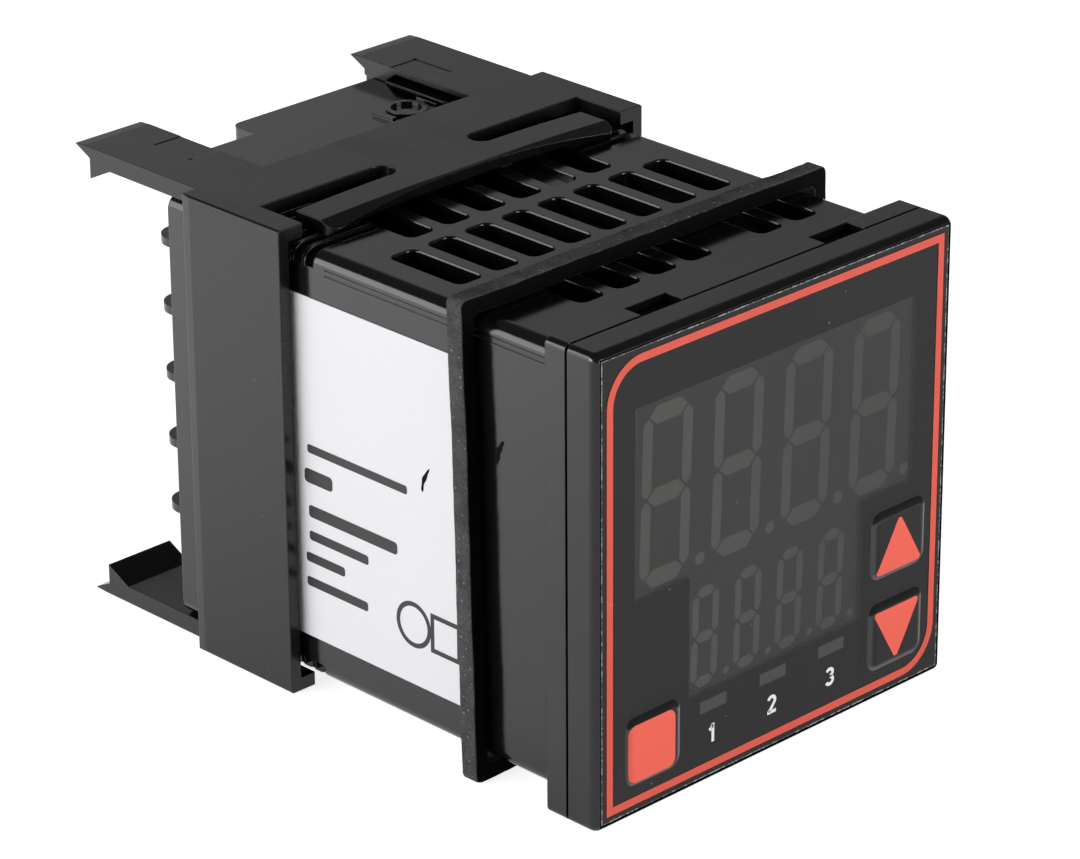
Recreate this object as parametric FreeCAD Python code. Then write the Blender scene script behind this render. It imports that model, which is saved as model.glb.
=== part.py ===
"""Panel-mounting PID temperature controller in the 48 x 48 mm front format.

Frame: millimetres, +X to the right as seen from the front, +Y from the front towards the rear,
+Z up. The origin is the centre of the flange's rear face, which lies against the panel.
"""
import FreeCAD, Part

import math
import os

from FreeCAD import Vector

os.makedirs("parts", exist_ok=True)

# ---------------------------------------------------------------- driving dimensions, mm
# housing
FRONT = 48.0              # side of the square bezel and flange
FLANGE_T = 2.5            # flange thickness; its rear face is y = 0
FLANGE_EDGE_R = 0.7       # rounding of the flange's four long corners
CASE = 45.0               # outer side of the square case behind the panel
CASE_R = 1.5              # rounding along the case's long corners
CASE_WALL = 1.6
BORE_R = 0.5              # rounding along the bore's corners
MOULD_LINES = (1.4, 2.0)  # fine lines on the side walls, below the case's top face
MOULD_LINE_W = 0.14
MOULD_LINE_DEPTH = 0.12
CASE_DEPTH = 53.6         # rear end of the side walls
ROOF_LEFT = -13.6         # left and right edges of the roof over the terminals
ROOF_RIGHT = 14.2
ROOF_REAR = 60.4          # rear edge of the roof's left shoulder
ROOF_T = 1.5
TAB_REAR = 63.95          # rear edge of the roof's long tab
TAB_LEFT = -5.4
TAB_R = 1.2
# vent slots in the top and bottom walls
VENT_COLUMNS = 8
VENT_PITCH = 4.8
VENT_W = 3.2
VENT_LEN = 9.7
VENT_R = 0.85
VENT_MOUTH = 0.1          # steep bevel round each slot, in the plane of the wall
VENT_MOUTH_DEPTH = 0.17
VENT_GAPS = (1.2, 1.8)    # walls left between the rows, at the surface
VENT_FRONT = 5.7          # front end of the front row
BLIND_VENT_DEPTH = 0.5
# ratchet grooves round the four long corners
RATCHET_FRONT = 32.6
RATCHET_PITCH = 1.6
RATCHET_GROOVE = 1.15
RATCHET_DEPTH = 0.55
RATCHET_COUNT = 12
RATCHET_INNER_X = 14.0    # grooves run from here to the corner
RATCHET_SIDE = 1.6        # how far the grooves come down the side walls
# clip windows between flange and bezel
CLIP_W = 5.4
CLIP_X = (-11.6, 12.9)
CLIP_REAR_WEB = 0.35      # flange left behind each window
CLIP_DEPTH = 2.0
CLIP_SINK = 0.9           # top of a bezel clip below the flange's edge
CLIP_FIT = 0.15
# raised orientation mark on the roof
MARK_H = 0.4
MARK_RING_R = 2.2
MARK_RING_W = 0.6
MARK_BAR = 1.5            # half length of the bars beside the ring
MARK_BAR_X = 3.0          # from the ring's centre to each bar
MARK_Y = 54.4
MARK_RING_X = 9.9
# front bezel
BEZEL_DEPTH = 4.2
BEZEL_FRONT_R = 1.2       # rounding of the front perimeter
BEZEL_EDGE_R = 0.7
BEZEL_FACE_T = 1.4
BEZEL_WALL = 1.6
SEAM_DEPTH = 0.3          # shadow gap between bezel and flange
SEAM_W = 0.7
SPIGOT_LEN = 2.2          # register that enters the housing
SPIGOT_WALL = 1.0
SPIGOT_LEDGE = 0.8        # thickness of the web that joins the register to the bezel's walls
# overlay film
FILM = 46.6
FILM_T = 0.4
FILM_SINK = 0.3           # film face behind the bezel's front
FILM_GAP = 0.2            # gap round the film
OUTLINE = 45.3            # outer side of the coloured outline
OUTLINE_W = 0.8
OUTLINE_R = 4.5           # top-left and bottom-right corners of the outline
PRINT_T = 0.05            # thickness of a printed field
# windows in the film
UPPER_WIN = (-19.0, 19.0, -1.8, 17.4)     # x0, x1, z0, z1
LOWER_WIN = (-11.8, 11.9, -14.4, -1.8)
LED_WIN_W = 3.6
LED_WIN_H = 1.25
LED_X = (-8.45, -0.3, 7.85)
LED_Z = -15.9
# displays: digit size between segment centres; margin is the window's height left above and
# below a digit, taken together by halves, and drop is how far the row sits below mid-window
DISPLAY_SETBACK = 0.5     # display face behind the film face
DISPLAY_FIT = 0.05        # gap between a display and the edge of its window
DIGITS = 4
SEGMENT_T = 0.25
DIGIT_LEAN = 0.033        # sideways run for each mm of height
UPPER_DIGIT = dict(w=5.2, margin=1.475, drop=0.24, bar=1.8, post=1.25, pitch=9.43, dot=0.62, dot_x=4.5)
UPPER_MID_X = -0.28       # middle of the upper row
LOWER_DIGIT = dict(w=2.7, margin=1.7, drop=0.72, bar=1.1, post=0.85, pitch=5.74, dot=0.4, dot_x=2.93)
LOWER_MID_X = -0.55
SEGMENT_GAP = 0.16
# keys
KEY_W = 8.3
KEY_H = 7.4
KEY_RISE = 0.45           # embossed height in front of the film
KEY_SLOPE = 0.7
KEY_R = 1.3
KEY_GAP = 0.12            # slit between key and film
KEY_NECK = 0.8            # length of the key body behind the film face
KEY_UP = (16.9, -7.5)
KEY_DOWN = (16.75, -17.2)
KEY_MENU = (-17.0, -17.2)
ARROW_W = 6.8
ARROW_H = 5.8
ARROW_R = 0.35
SQUARE = 6.0
SQUARE_R = 0.9
KEY_TRAVEL = 0.4
# display board and what it carries
BOARD_T = 1.6
BOARD_Y = 1.6             # front face of the display board
BOARD_GAP = 0.3
SWITCH = 4.5
SWITCH_H = 3.4
PLUNGER_R = 1.2
PLUNGER_FIT = 0.06
PLUNGER_GRIP = 1.6        # plunger length inside its switch
LED_BODY = (3.5, 1.15)
LED_SETBACK = 0.05        # lamp face behind the film
# side boards
SIDE_BOARD_X = 13.0       # mid-plane of each side board
RAIL_W = 1.0
RAIL_H = 1.2
RAIL_FIT = 0.15
RAIL_FRONT = 5.0
# rear terminals
BLOCK_FIT = 0.15
BLOCK_T = 7.0
BLOCK_SETBACK = 0.5       # block face in front of the side walls' rear end
TERMINALS = 6             # in each of two columns
TERMINAL_PITCH = 7.25
FIN_T = 0.9
FIN_HALF = 17.7
FIN_REAR = 62.1
FIN_R = 2.3
SPINE_HALF = 3.0
SPINE_REAR = 58.8
SCREW_X = 9.2
SCREW_R = 1.45
SCREW_FIT = 0.05
SCREW_LEN = 6.5
HEAD_R = 2.6
HEAD_T = 1.8
HEAD_EDGE_R = 0.6
HEAD_SLOT = 0.7
CLAMP_W = 6.6
CLAMP_H = 5.4
CLAMP_T = 0.9
CLAMP_EDGE_R = 0.3
CONTACT_T = 0.7
CONTACT_H = 5.0
BLADE_H = 2.4
BLADE_LEN = 12.0
# panel gasket
GASKET_BAND = 2.0         # outer edge of the gasket over the case
GASKET_T = 2.2
GASKET_GAP = 0.3          # slack on the case
GASKET_Y = 10.7
GASKET_LEAN = 1.46        # degrees, top towards the rear
GASKET_R = 0.5
# side label
LABEL_FRONT = 12.0
LABEL_LEN = 33.5
LABEL_H = 35.9
LABEL_MID_Z = -0.2
LABEL_T = 0.1
# mounting bracket
BRACKET_CLEAR = 0.45      # bracket's top and bottom plates over the case
BRACKET_FRONT = 35.3
BRACKET_LEN = 14.0
BRACKET_SIDE_T = 1.25
BRACKET_PLATE_T = 1.4
BRACKET_EDGE = 0.2
SLOT_W = 2.8
SLOT_FRONT = 3.4          # from the bracket's front edge to the slot
SLOT_INNER = 5.3
SLOT_OUTER = 21.3
ARM_END = 19.1
ARM_SAG = 0.3             # fall of the arm's flat top at its end
NOSE_ROOT = 0.4           # nose ahead of the bracket's front edge, at the middle
NOSE_REACH = 1.6
NOSE_FALL = 0.75
NOSE_R = 1.4              # rounding of the nose's outer corner
CREASE_AHEAD = 0.1        # edge between an arm's flat top and its nose
CREASE_FALL = 0.05
NOSE_HEEL = 0.35          # lower edge of the nose behind its tip, at the arm's middle
NOSE_UNDERCUT = 0.7       # and how much further back it is at the arm's end
NOSE_CLEAR = 0.12         # arm end over the case
ARM_STATIONS = 8
TONGUE_IN = 14.1
TONGUE_OUT = 22.5
TONGUE_T = 1.8
TONGUE_REAR = 67.45
TONGUE_BEVEL = 1.3
HOOK_FACE = 65.3
HOOK_DROP = 1.5
HOOK_RAMP = 3.0
HOOK_INSET = 0.25         # hook's inner side behind the tongue's inner edge
TONGUE_TIP = 0.1          # fall of the bevelled rear edge
HOLLOW_DEPTH = 6.0        # hollow in the tongue's inner side
HOLLOW_TOP = 0.65         # plate left above it
HOLLOW_LIP = 0.12         # lip left below it
HOLLOW_FRONT = 0.4        # from the bracket's rear edge to the hollow
HOLLOW_REAR = (60.6, 62.1)   # its sloping rear end, at its top and at its bottom
LIFT_RISE = 1.15          # height of the finger wedge's root below the tongue's top
PATCH = (3.5, 5.6, 0.06)  # width, length, depth of the sunk pad on the top tongues
PATCH_FRONT = 55.7
PIT_R = 0.22              # moulding pit at one corner of each pad
PIT_DEPTH = 0.15
SIDE_BAND_W = 1.1         # bevelled band along the rear edge of each side wall
SIDE_BAND_T = 0.15

# ---------------------------------------------------------------- derived places
HALF = FRONT / 2
CASE_HALF = CASE / 2
BORE_HALF = CASE_HALF - CASE_WALL
SEAM_Y = -FLANGE_T
BEZEL_Y = SEAM_Y - BEZEL_DEPTH
FILM_Y = BEZEL_Y + FILM_SINK
FILM_BACK = FILM_Y + FILM_T
DISPLAY_Y = FILM_Y + DISPLAY_SETBACK
BOARD_BACK = BOARD_Y + BOARD_T
BLOCK_FACE = CASE_DEPTH - BLOCK_SETBACK
BLOCK_FRONT = BLOCK_FACE - BLOCK_T
BLADE_FRONT = BLOCK_FACE - BLADE_LEN
PLATE_LOW = CASE_HALF + BRACKET_CLEAR
BRACKET_HALF = PLATE_LOW + BRACKET_PLATE_T
BRACKET_REAR = BRACKET_FRONT + BRACKET_LEN
ROOT_CUT = 1.0            # how far cutters run past a face
NEAR = 1e-6               # tolerance for picking edges


def box(x0, x1, y0, y1, z0, z1):
    """Block between two corners."""
    return Part.makeBox(x1 - x0, y1 - y0, z1 - z0, Vector(x0, y0, z0))


def rod(x, z, r, y0, y1):
    """Cylinder along Y."""
    return Part.makeCylinder(r, y1 - y0, Vector(x, y0, z), Vector(0, 1, 0))


def prism(points, y0, y1):
    """Straight prism along Y over a closed outline of (x, z) points."""
    corners = [Vector(x, y0, z) for x, z in points]
    face = Part.Face(Part.makePolygon(corners + corners[:1]))
    return face.extrude(Vector(0, y1 - y0, 0))


def along(edge, axis):
    """True for a straight edge parallel to a unit axis."""
    if not isinstance(edge.Curve, Part.Line):
        return False
    return edge.tangentAt(edge.FirstParameter).cross(axis).Length < NEAR


def round_long_edges(solid, r, keep=lambda middle: True):
    """Rounds the edges that run along Y."""
    edges = [e for e in solid.Edges if along(e, Vector(0, 1, 0)) and keep(e.CenterOfMass)]
    return solid.makeFillet(r, edges)


def bar(x0, x1, y0, y1, z0, z1, r):
    """Block whose edges along Y are rounded."""
    return round_long_edges(box(x0, x1, y0, y1, z0, z1), r)


def square_bar(half, y0, y1, r):
    return bar(-half, half, y0, y1, -half, half, r)


def fuse(shapes):
    """One clean solid from touching shapes."""
    whole = shapes[0].fuse(shapes[1:]) if len(shapes) > 1 else shapes[0]
    return whole.removeSplitter()


def mirror_x(shape):
    return shape.mirror(Vector(0, 0, 0), Vector(1, 0, 0))


def mirror_z(shape):
    return shape.mirror(Vector(0, 0, 0), Vector(0, 0, 1))


def save(node, shape):
    """Writes one node and reports its solids and volume."""
    shape.exportStep(f"parts/{node}.step")
    print(f"{node:24s} solids {len(shape.Solids):3d}  valid {shape.isValid()}  {shape.Volume:9.2f} mm3")


# ---------------------------------------------------------------- housing
def vent_x(column):
    return (column - (VENT_COLUMNS - 1) / 2) * VENT_PITCH


def vent_cutter(x, y0, low):
    """Rounded slot along Y with a bevelled mouth at the case's top face."""
    half, top, c, d = VENT_W / 2, CASE_HALF, VENT_MOUTH, VENT_MOUTH_DEPTH
    plan = box(x - half, x + half, y0 + c, y0 + c + VENT_LEN, low, top + ROOT_CUT)
    upright = [e for e in plan.Edges if along(e, Vector(0, 0, 1))]
    slot = plan.makeFillet(VENT_R, upright)
    low_wire = box(x - half, x + half, y0 + c, y0 + c + VENT_LEN, top - d, top)
    low_wire = low_wire.makeFillet(VENT_R, [e for e in low_wire.Edges if along(e, Vector(0, 0, 1))])
    high = box(x - half - c, x + half + c, y0, y0 + VENT_LEN + 2 * c, top - d, top)
    high = high.makeFillet(VENT_R + c, [e for e in high.Edges if along(e, Vector(0, 0, 1))])
    bottom = min(low_wire.Faces, key=lambda f: f.CenterOfMass.z).OuterWire
    mouth = Part.makeLoft([bottom, max(high.Faces, key=lambda f: f.CenterOfMass.z).OuterWire], True, True)
    return slot.fuse(mouth)


def vent_rows():
    """Three rows of slots in the top wall; some places are left closed."""
    length = VENT_LEN + 2 * VENT_MOUTH
    second = VENT_FRONT + length + VENT_GAPS[0]
    third = second + length + VENT_GAPS[1]
    through = BORE_HALF - RAIL_H - ROOT_CUT
    blind = CASE_HALF - BLIND_VENT_DEPTH
    columns = range(VENT_COLUMNS)
    closed, blind_column = (0, 5), 5
    front = [vent_cutter(vent_x(k), VENT_FRONT, through) for k in columns if k not in closed]
    middle = [vent_cutter(vent_x(k), second, through) for k in columns]
    rear = [vent_cutter(vent_x(k), third, blind if k == blind_column else through)
            for k in columns[1:-1]]
    return front, middle, rear


def ratchet_cutters():
    """Grooves that leave a row of ridges round each long corner."""
    outer = square_bar(CASE_HALF + ROOT_CUT, 0, RATCHET_GROOVE, CASE_R)
    core = square_bar(CASE_HALF - RATCHET_DEPTH, -ROOT_CUT, RATCHET_GROOVE + ROOT_CUT, CASE_R)
    reach = CASE_HALF + 2 * ROOT_CUT
    zone = box(RATCHET_INNER_X, reach, 0, RATCHET_GROOVE, CASE_HALF - RATCHET_SIDE, reach)
    corner = outer.cut(core).common(zone)
    ring = [corner, mirror_x(corner), mirror_z(corner), mirror_z(mirror_x(corner))]
    cutters = []
    for k in range(RATCHET_COUNT):
        for piece in ring:
            copy = piece.copy()
            copy.translate(Vector(0, RATCHET_FRONT + k * RATCHET_PITCH, 0))
            cutters.append(copy)
    return cutters


def clip_boxes(inset, sink):
    """Clip places in the flange's top and bottom, made smaller by inset and lower by sink."""
    boxes = []
    for x in CLIP_X:
        top = box(x - CLIP_W / 2 + inset, x + CLIP_W / 2 - inset, SEAM_Y, -CLIP_REAR_WEB - inset,
                  HALF - CLIP_DEPTH + inset, HALF - sink)
        boxes += [top, mirror_z(top)]
    return boxes


def board_rails():
    """Pairs of ribs inside the top and bottom walls that hold the side boards' edges."""
    rails = []
    gap = BOARD_T / 2 + RAIL_FIT
    for side in (-1, 1):
        for offset in (-gap - RAIL_W, gap):
            x0 = side * SIDE_BOARD_X + offset
            top = box(x0, x0 + RAIL_W, RAIL_FRONT, BLOCK_FRONT - BLOCK_FIT, BORE_HALF - RAIL_H, BORE_HALF)
            rails += [top, mirror_z(top)]
    return rails


def roof():
    """Top wall carried on over the terminals, with a longer tab on its right part."""
    z0, z1 = CASE_HALF - ROOF_T, CASE_HALF
    y0 = CASE_DEPTH - ROOT_CUT
    plate = box(ROOF_LEFT, ROOF_RIGHT, y0, ROOF_REAR, z0, z1)
    tab = box(TAB_LEFT, ROOF_RIGHT, y0, TAB_REAR, z0, z1)
    corner = [e for e in tab.Edges if along(e, Vector(0, 0, 1)) and e.CenterOfMass.y > ROOF_REAR
              and e.CenterOfMass.x < 0]
    return [plate, tab.makeFillet(TAB_R, corner)]


def orientation_mark():
    """Plain raised ring between two bars."""
    z0, z1 = CASE_HALF - MARK_H, CASE_HALF + MARK_H
    up = Vector(0, 0, 1)
    place = Vector(MARK_RING_X, MARK_Y, z0)
    ring = Part.makeCylinder(MARK_RING_R, z1 - z0, place, up)
    ring = ring.cut(Part.makeCylinder(MARK_RING_R - MARK_RING_W, z1 - z0, place, up))
    marks = [ring]
    for side in (-1, 1):
        x = MARK_RING_X + side * MARK_BAR_X
        marks.append(box(x - MARK_RING_W / 2, x + MARK_RING_W / 2, MARK_Y - MARK_BAR,
                         MARK_Y + MARK_BAR, z0, z1))
    return marks


def mould_lines():
    """Fine grooves along both side walls, from the flange to the ratchet."""
    lines = []
    for below in MOULD_LINES:
        z0 = CASE_HALF - below - MOULD_LINE_W / 2
        x0 = CASE_HALF - MOULD_LINE_DEPTH
        line = box(x0, CASE_HALF + ROOT_CUT, 0, RATCHET_FRONT - RATCHET_PITCH, z0, z0 + MOULD_LINE_W)
        lines += [line, mirror_x(line)]
    return lines


def housing():
    flange = square_bar(HALF, SEAM_Y, 0, FLANGE_EDGE_R)
    sleeve = square_bar(CASE_HALF, SEAM_Y, CASE_DEPTH, CASE_R)
    bore = square_bar(BORE_HALF, SEAM_Y - ROOT_CUT, CASE_DEPTH + ROOT_CUT, BORE_R)
    body = fuse([flange, sleeve] + roof())
    body = body.cut(bore)
    body = fuse([body] + board_rails() + orientation_mark())
    front, middle, rear = vent_rows()
    under = [mirror_z(v) for v in front + middle]
    cutters = front + middle + rear + under + ratchet_cutters() + clip_boxes(0.0, 0.0) + mould_lines()
    return body.cut(cutters).removeSplitter()


# ---------------------------------------------------------------- front bezel
def window_outline(grow=0.0):
    """Stepped outline round the two display windows."""
    ux0, ux1, uz0, uz1 = UPPER_WIN
    lx0, lx1, lz0, _ = LOWER_WIN
    g = grow
    return [(ux0 - g, uz1 + g), (ux0 - g, uz0 - g), (lx0 - g, uz0 - g), (lx0 - g, lz0 - g),
            (lx1 + g, lz0 - g), (lx1 + g, uz0 - g), (ux1 + g, uz0 - g), (ux1 + g, uz1 + g)]


def led_windows(y0, y1, grow=0.0):
    w, h = LED_WIN_W / 2 + grow, LED_WIN_H / 2 + grow
    return [box(x - w, x + w, y0, y1, LED_Z - h, LED_Z + h) for x in LED_X]


def key_bars(y0, y1, grow=0.0):
    w, h = KEY_W / 2 + grow, KEY_H / 2 + grow
    return [bar(x - w, x + w, y0, y1, z - h, z + h, KEY_R + grow) for x, z in (KEY_UP, KEY_DOWN, KEY_MENU)]


def bezel_shell():
    """Square block whose front perimeter is rounded, with softened corners."""
    block = box(-HALF, HALF, BEZEL_Y, SEAM_Y, -HALF, HALF)
    front = [e for e in block.Edges if abs(e.CenterOfMass.y - BEZEL_Y) < NEAR]
    block = block.makeFillet(BEZEL_FRONT_R, front)
    return round_long_edges(block, BEZEL_EDGE_R)


def front_bezel():
    shell = bezel_shell()
    recess = FILM / 2 + FILM_GAP
    inner = HALF - BEZEL_WALL
    face_back = FILM_BACK + BEZEL_FACE_T
    cutters = [box(-recess, recess, BEZEL_Y - ROOT_CUT, FILM_BACK, -recess, recess),
               box(-inner, inner, face_back, SEAM_Y + ROOT_CUT, -inner, inner),
               prism(window_outline(), FILM_BACK - ROOT_CUT, face_back + ROOT_CUT)]
    cutters += led_windows(FILM_BACK - ROOT_CUT, face_back + ROOT_CUT)
    cutters += key_bars(FILM_BACK - ROOT_CUT, face_back + ROOT_CUT, KEY_GAP)
    rim = box(-HALF, HALF, SEAM_Y - SEAM_DEPTH, SEAM_Y, -HALF, HALF)
    rim = rim.cut(box(-HALF + SEAM_W, HALF - SEAM_W, SEAM_Y - ROOT_CUT, SEAM_Y + ROOT_CUT,
                      -HALF + SEAM_W, HALF - SEAM_W))
    shell = shell.cut(cutters + [rim])
    spigot_half = BORE_HALF - BLOCK_FIT
    collar = square_bar(spigot_half, face_back, SEAM_Y + SPIGOT_LEN, BORE_R)
    ledge_half = inner + BEZEL_WALL / 2
    ledge = box(-ledge_half, ledge_half, SEAM_Y - SPIGOT_LEDGE, SEAM_Y, -ledge_half, ledge_half)
    hole_half = spigot_half - SPIGOT_WALL
    hole = box(-hole_half, hole_half, face_back - ROOT_CUT, SEAM_Y + SPIGOT_LEN + ROOT_CUT,
               -hole_half, hole_half)
    hole = hole.cut(box(-HALF, HALF, face_back - 2 * ROOT_CUT, face_back, -HALF, HALF))
    register = fuse([collar, ledge]).cut(hole)
    return fuse([shell, register] + clip_boxes(CLIP_FIT, CLIP_SINK))


# ---------------------------------------------------------------- overlay and keys
def front_overlay():
    half = FILM / 2
    film = box(-half, half, FILM_Y, FILM_BACK, -half, half)
    y0, y1 = FILM_Y - ROOT_CUT, FILM_BACK + ROOT_CUT
    return film.cut([prism(window_outline(), y0, y1)] + led_windows(y0, y1) + key_bars(y0, y1, KEY_GAP))


def outline_loop(half, r):
    """Square with two opposite corners rounded: top-left and bottom-right."""
    y0, y1 = FILM_Y - PRINT_T, FILM_Y
    block = box(-half, half, y0, y1, -half, half)
    return round_long_edges(block, r, lambda c: c.x * c.z < 0)


def outline_print():
    half = OUTLINE / 2
    return outline_loop(half, OUTLINE_R).cut(outline_loop(half - OUTLINE_W, OUTLINE_R - OUTLINE_W))


def key_cap(place):
    """Embossed key: sloped sides up to a flat face, and a short body behind it."""
    x, z = place
    w, h = KEY_W / 2, KEY_H / 2
    base = bar(x - w, x + w, FILM_Y, FILM_Y + KEY_NECK, z - h, z + h, KEY_R)
    w, h = w - KEY_SLOPE, h - KEY_SLOPE
    top = bar(x - w, x + w, FILM_Y - KEY_RISE, FILM_Y, z - h, z + h, KEY_R - KEY_SLOPE / 2)
    lower = min(base.Faces, key=lambda f: f.CenterOfMass.y).OuterWire
    upper = min(top.Faces, key=lambda f: f.CenterOfMass.y).OuterWire
    return fuse([base, Part.makeLoft([lower, upper], True, True)])


def arrow(place, sign):
    """Printed triangle; sign 1 points up and -1 down."""
    x, z = place
    half_w, half_h = ARROW_W / 2, sign * ARROW_H / 2
    y = FILM_Y - KEY_RISE
    shape = prism([(x - half_w, z - half_h), (x + half_w, z - half_h), (x, z + half_h)], y - PRINT_T, y)
    return round_long_edges(shape, ARROW_R)


def menu_square():
    x, z = KEY_MENU
    half, y = SQUARE / 2, FILM_Y - KEY_RISE
    return bar(x - half, x + half, y - PRINT_T, y, z - half, z + half, SQUARE_R)


def plunger(place):
    x, z = place
    return rod(x, z, PLUNGER_R, FILM_Y + KEY_NECK, BOARD_Y - SWITCH_H + PLUNGER_GRIP)


def tact_switches():
    half = SWITCH / 2
    bodies = []
    for x, z in (KEY_UP, KEY_DOWN, KEY_MENU):
        body = box(x - half, x + half, BOARD_Y - SWITCH_H, BOARD_Y, z - half, z + half)
        well = rod(x, z, PLUNGER_R + PLUNGER_FIT, BOARD_Y - SWITCH_H - ROOT_CUT,
                   BOARD_Y - SWITCH_H + PLUNGER_GRIP + 2 * KEY_TRAVEL)
        bodies.append(body.cut(well))
    return Part.makeCompound(bodies)


# ---------------------------------------------------------------- displays
def segment(a, b, half):
    """Pointed bar between two places, each an (x, z) pair."""
    dx, dz = b[0] - a[0], b[1] - a[1]
    length = math.hypot(dx, dz)
    ux, uz = dx / length, dz / length
    near, far = SEGMENT_GAP, length - SEGMENT_GAP
    stations = [(near, 0), (near + half, half), (far - half, half), (far, 0), (far - half, -half),
                (near + half, -half)]
    outline = [(a[0] + ux * s - uz * t, a[1] + uz * s + ux * t) for s, t in stations]
    return prism(outline, DISPLAY_Y, DISPLAY_Y + SEGMENT_T)


def digit_segments(cx, cz, height, d):
    """Seven segments and a point of one digit centred on (cx, cz)."""
    node = {}
    for level in (-1, 0, 1):
        for side in (-1, 1):
            z = level * height / 2
            node[side, level] = (cx + side * d["w"] / 2 + z * DIGIT_LEAN, cz + z)
    pieces = [segment(node[-1, level], node[1, level], d["bar"] / 2) for level in (-1, 0, 1)]
    for side in (-1, 1):
        pieces += [segment(node[side, low], node[side, low + 1], d["post"] / 2) for low in (-1, 0)]
    low = cz - height / 2
    pieces.append(rod(cx + d["dot_x"], low, d["dot"], DISPLAY_Y, DISPLAY_Y + SEGMENT_T))
    return pieces


def display_segments(window, mid_x, d):
    """One row of digits in a window."""
    height = window[3] - window[2] - 2 * d["margin"]
    mid_z = (window[3] + window[2]) / 2 - d["drop"]
    pieces = []
    for k in range(DIGITS):
        pieces += digit_segments(mid_x + (k - (DIGITS - 1) / 2) * d["pitch"], mid_z, height, d)
    return Part.makeCompound(pieces)


def display_module(window, segments):
    """Display body behind one window, with a seat for each segment."""
    x0, x1, z0, z1 = window
    c = DISPLAY_FIT
    lower = z0 + (c if window is LOWER_WIN else 0.0)
    body = box(x0 + c, x1 - c, DISPLAY_Y, BOARD_Y, lower, z1 - c)
    return body.cut(segments.Solids)


def display_window():
    return prism(window_outline(), FILM_Y, FILM_BACK)


def display_board():
    half = BORE_HALF - BOARD_GAP
    return box(-half, half, BOARD_Y, BOARD_BACK, -half, half)


def indicator_leds():
    w, h = (v / 2 for v in LED_BODY)
    return Part.makeCompound([box(x - w, x + w, FILM_BACK + LED_SETBACK, BOARD_Y, LED_Z - h, LED_Z + h)
                              for x in LED_X])


# ---------------------------------------------------------------- boards and their parts
CORE = (15.0, 19.0, 14.0)         # transformer core along X, Y and Z
CORE_BEHIND = 4.1                 # from the core to the contact blades' front ends
CORE_LOW = -19.6
COIL_MARGIN = 3.2                 # winding inside the core's ends, along Y
COIL_BULGE = 1.6                  # winding beyond the core, along Z
RELAY = (10.0, 20.0, 11.0)
RELAY_FRONT = 14.0
RELAY_LOW = (-2.5, 8.65)
CAP_R = 4.0
CAP_LEN = 11.0
CAP_COUNT = 2
CAP_Y = 13.0                      # axis of both cans, which stand above the core's level
CAP_GAP = 0.7                     # between the core's level and a can, and between the cans
CHIP = (1.4, 12.0, 12.0)
CHIP_FRONT = 18.0
CHIP_LOW = 2.6
SENSOR_CHIP = (1.4, 8.0, 5.0)
SENSOR_CHIP_BEHIND = 2.1          # from the chip to the contact blades' front ends
SENSOR_CHIP_LOW = -12.0
HEADER = (2.5, 5.0, 20.0)


def side_board(side):
    """Board on its edge from the display board to the terminal block."""
    x, half = side * SIDE_BOARD_X, BORE_HALF - RAIL_FIT
    return box(x - BOARD_T / 2, x + BOARD_T / 2, BOARD_BACK, BLOCK_FRONT - RAIL_FIT, -half, half)


def on_board(side, size, front, low):
    """Block that stands on the inner face of a side board."""
    face = side * (SIDE_BOARD_X - BOARD_T / 2)
    x0, x1 = sorted((face, face - side * size[0]))
    return box(x0, x1, front, front + size[1], low, low + size[2])


def transformer():
    """Core with a winding round its middle leg."""
    core = on_board(1, CORE, BLADE_FRONT - CORE_BEHIND - CORE[1], CORE_LOW)
    b = core.BoundBox
    window = box(b.XMin - ROOT_CUT, b.XMax + ROOT_CUT, b.YMin + COIL_MARGIN, b.YMax - COIL_MARGIN,
                 b.ZMin + COIL_MARGIN, b.ZMax - COIL_MARGIN)
    middle = (b.YMin + b.YMax) / 2
    leg = box(b.XMin, b.XMax, middle - COIL_MARGIN / 2, middle + COIL_MARGIN / 2, b.ZMin, b.ZMax)
    core = fuse([core.cut(window), leg])
    coil = box(b.XMin - COIL_BULGE, b.XMax, b.YMin + COIL_MARGIN, b.YMax - COIL_MARGIN,
               b.ZMin + COIL_MARGIN, b.ZMax - COIL_MARGIN)
    coil = coil.makeFillet(COIL_BULGE / 2, [e for e in coil.Edges if along(e, Vector(0, 0, 1))
                                            and e.CenterOfMass.x < b.XMin])
    return core, coil.cut(leg)


def relays():
    return Part.makeCompound([on_board(1, RELAY, RELAY_FRONT, low) for low in RELAY_LOW])


def capacitors():
    """Upright cans standing on the main board."""
    face = -(SIDE_BOARD_X - BOARD_T / 2)
    lowest = CORE_LOW + CORE[2] + CAP_GAP + CAP_R
    levels = [lowest + k * (2 * CAP_R + CAP_GAP) for k in range(CAP_COUNT)]
    return Part.makeCompound([Part.makeCylinder(CAP_R, CAP_LEN, Vector(face, CAP_Y, z), Vector(1, 0, 0))
                              for z in levels])


def sensor_amplifier():
    return on_board(-1, SENSOR_CHIP, BLADE_FRONT - SENSOR_CHIP_BEHIND - SENSOR_CHIP[1], SENSOR_CHIP_LOW)


def board_header(side):
    """Socket strip in the corner between a side board and the display board."""
    return on_board(side, HEADER, BOARD_BACK, -HEADER[2] / 2)


# ---------------------------------------------------------------- terminals
def terminal_z(k):
    return (k - (TERMINALS - 1) / 2) * TERMINAL_PITCH


def terminal_places():
    return [(side, terminal_z(k)) for side in (-1, 1) for k in range(TERMINALS)]


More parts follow.
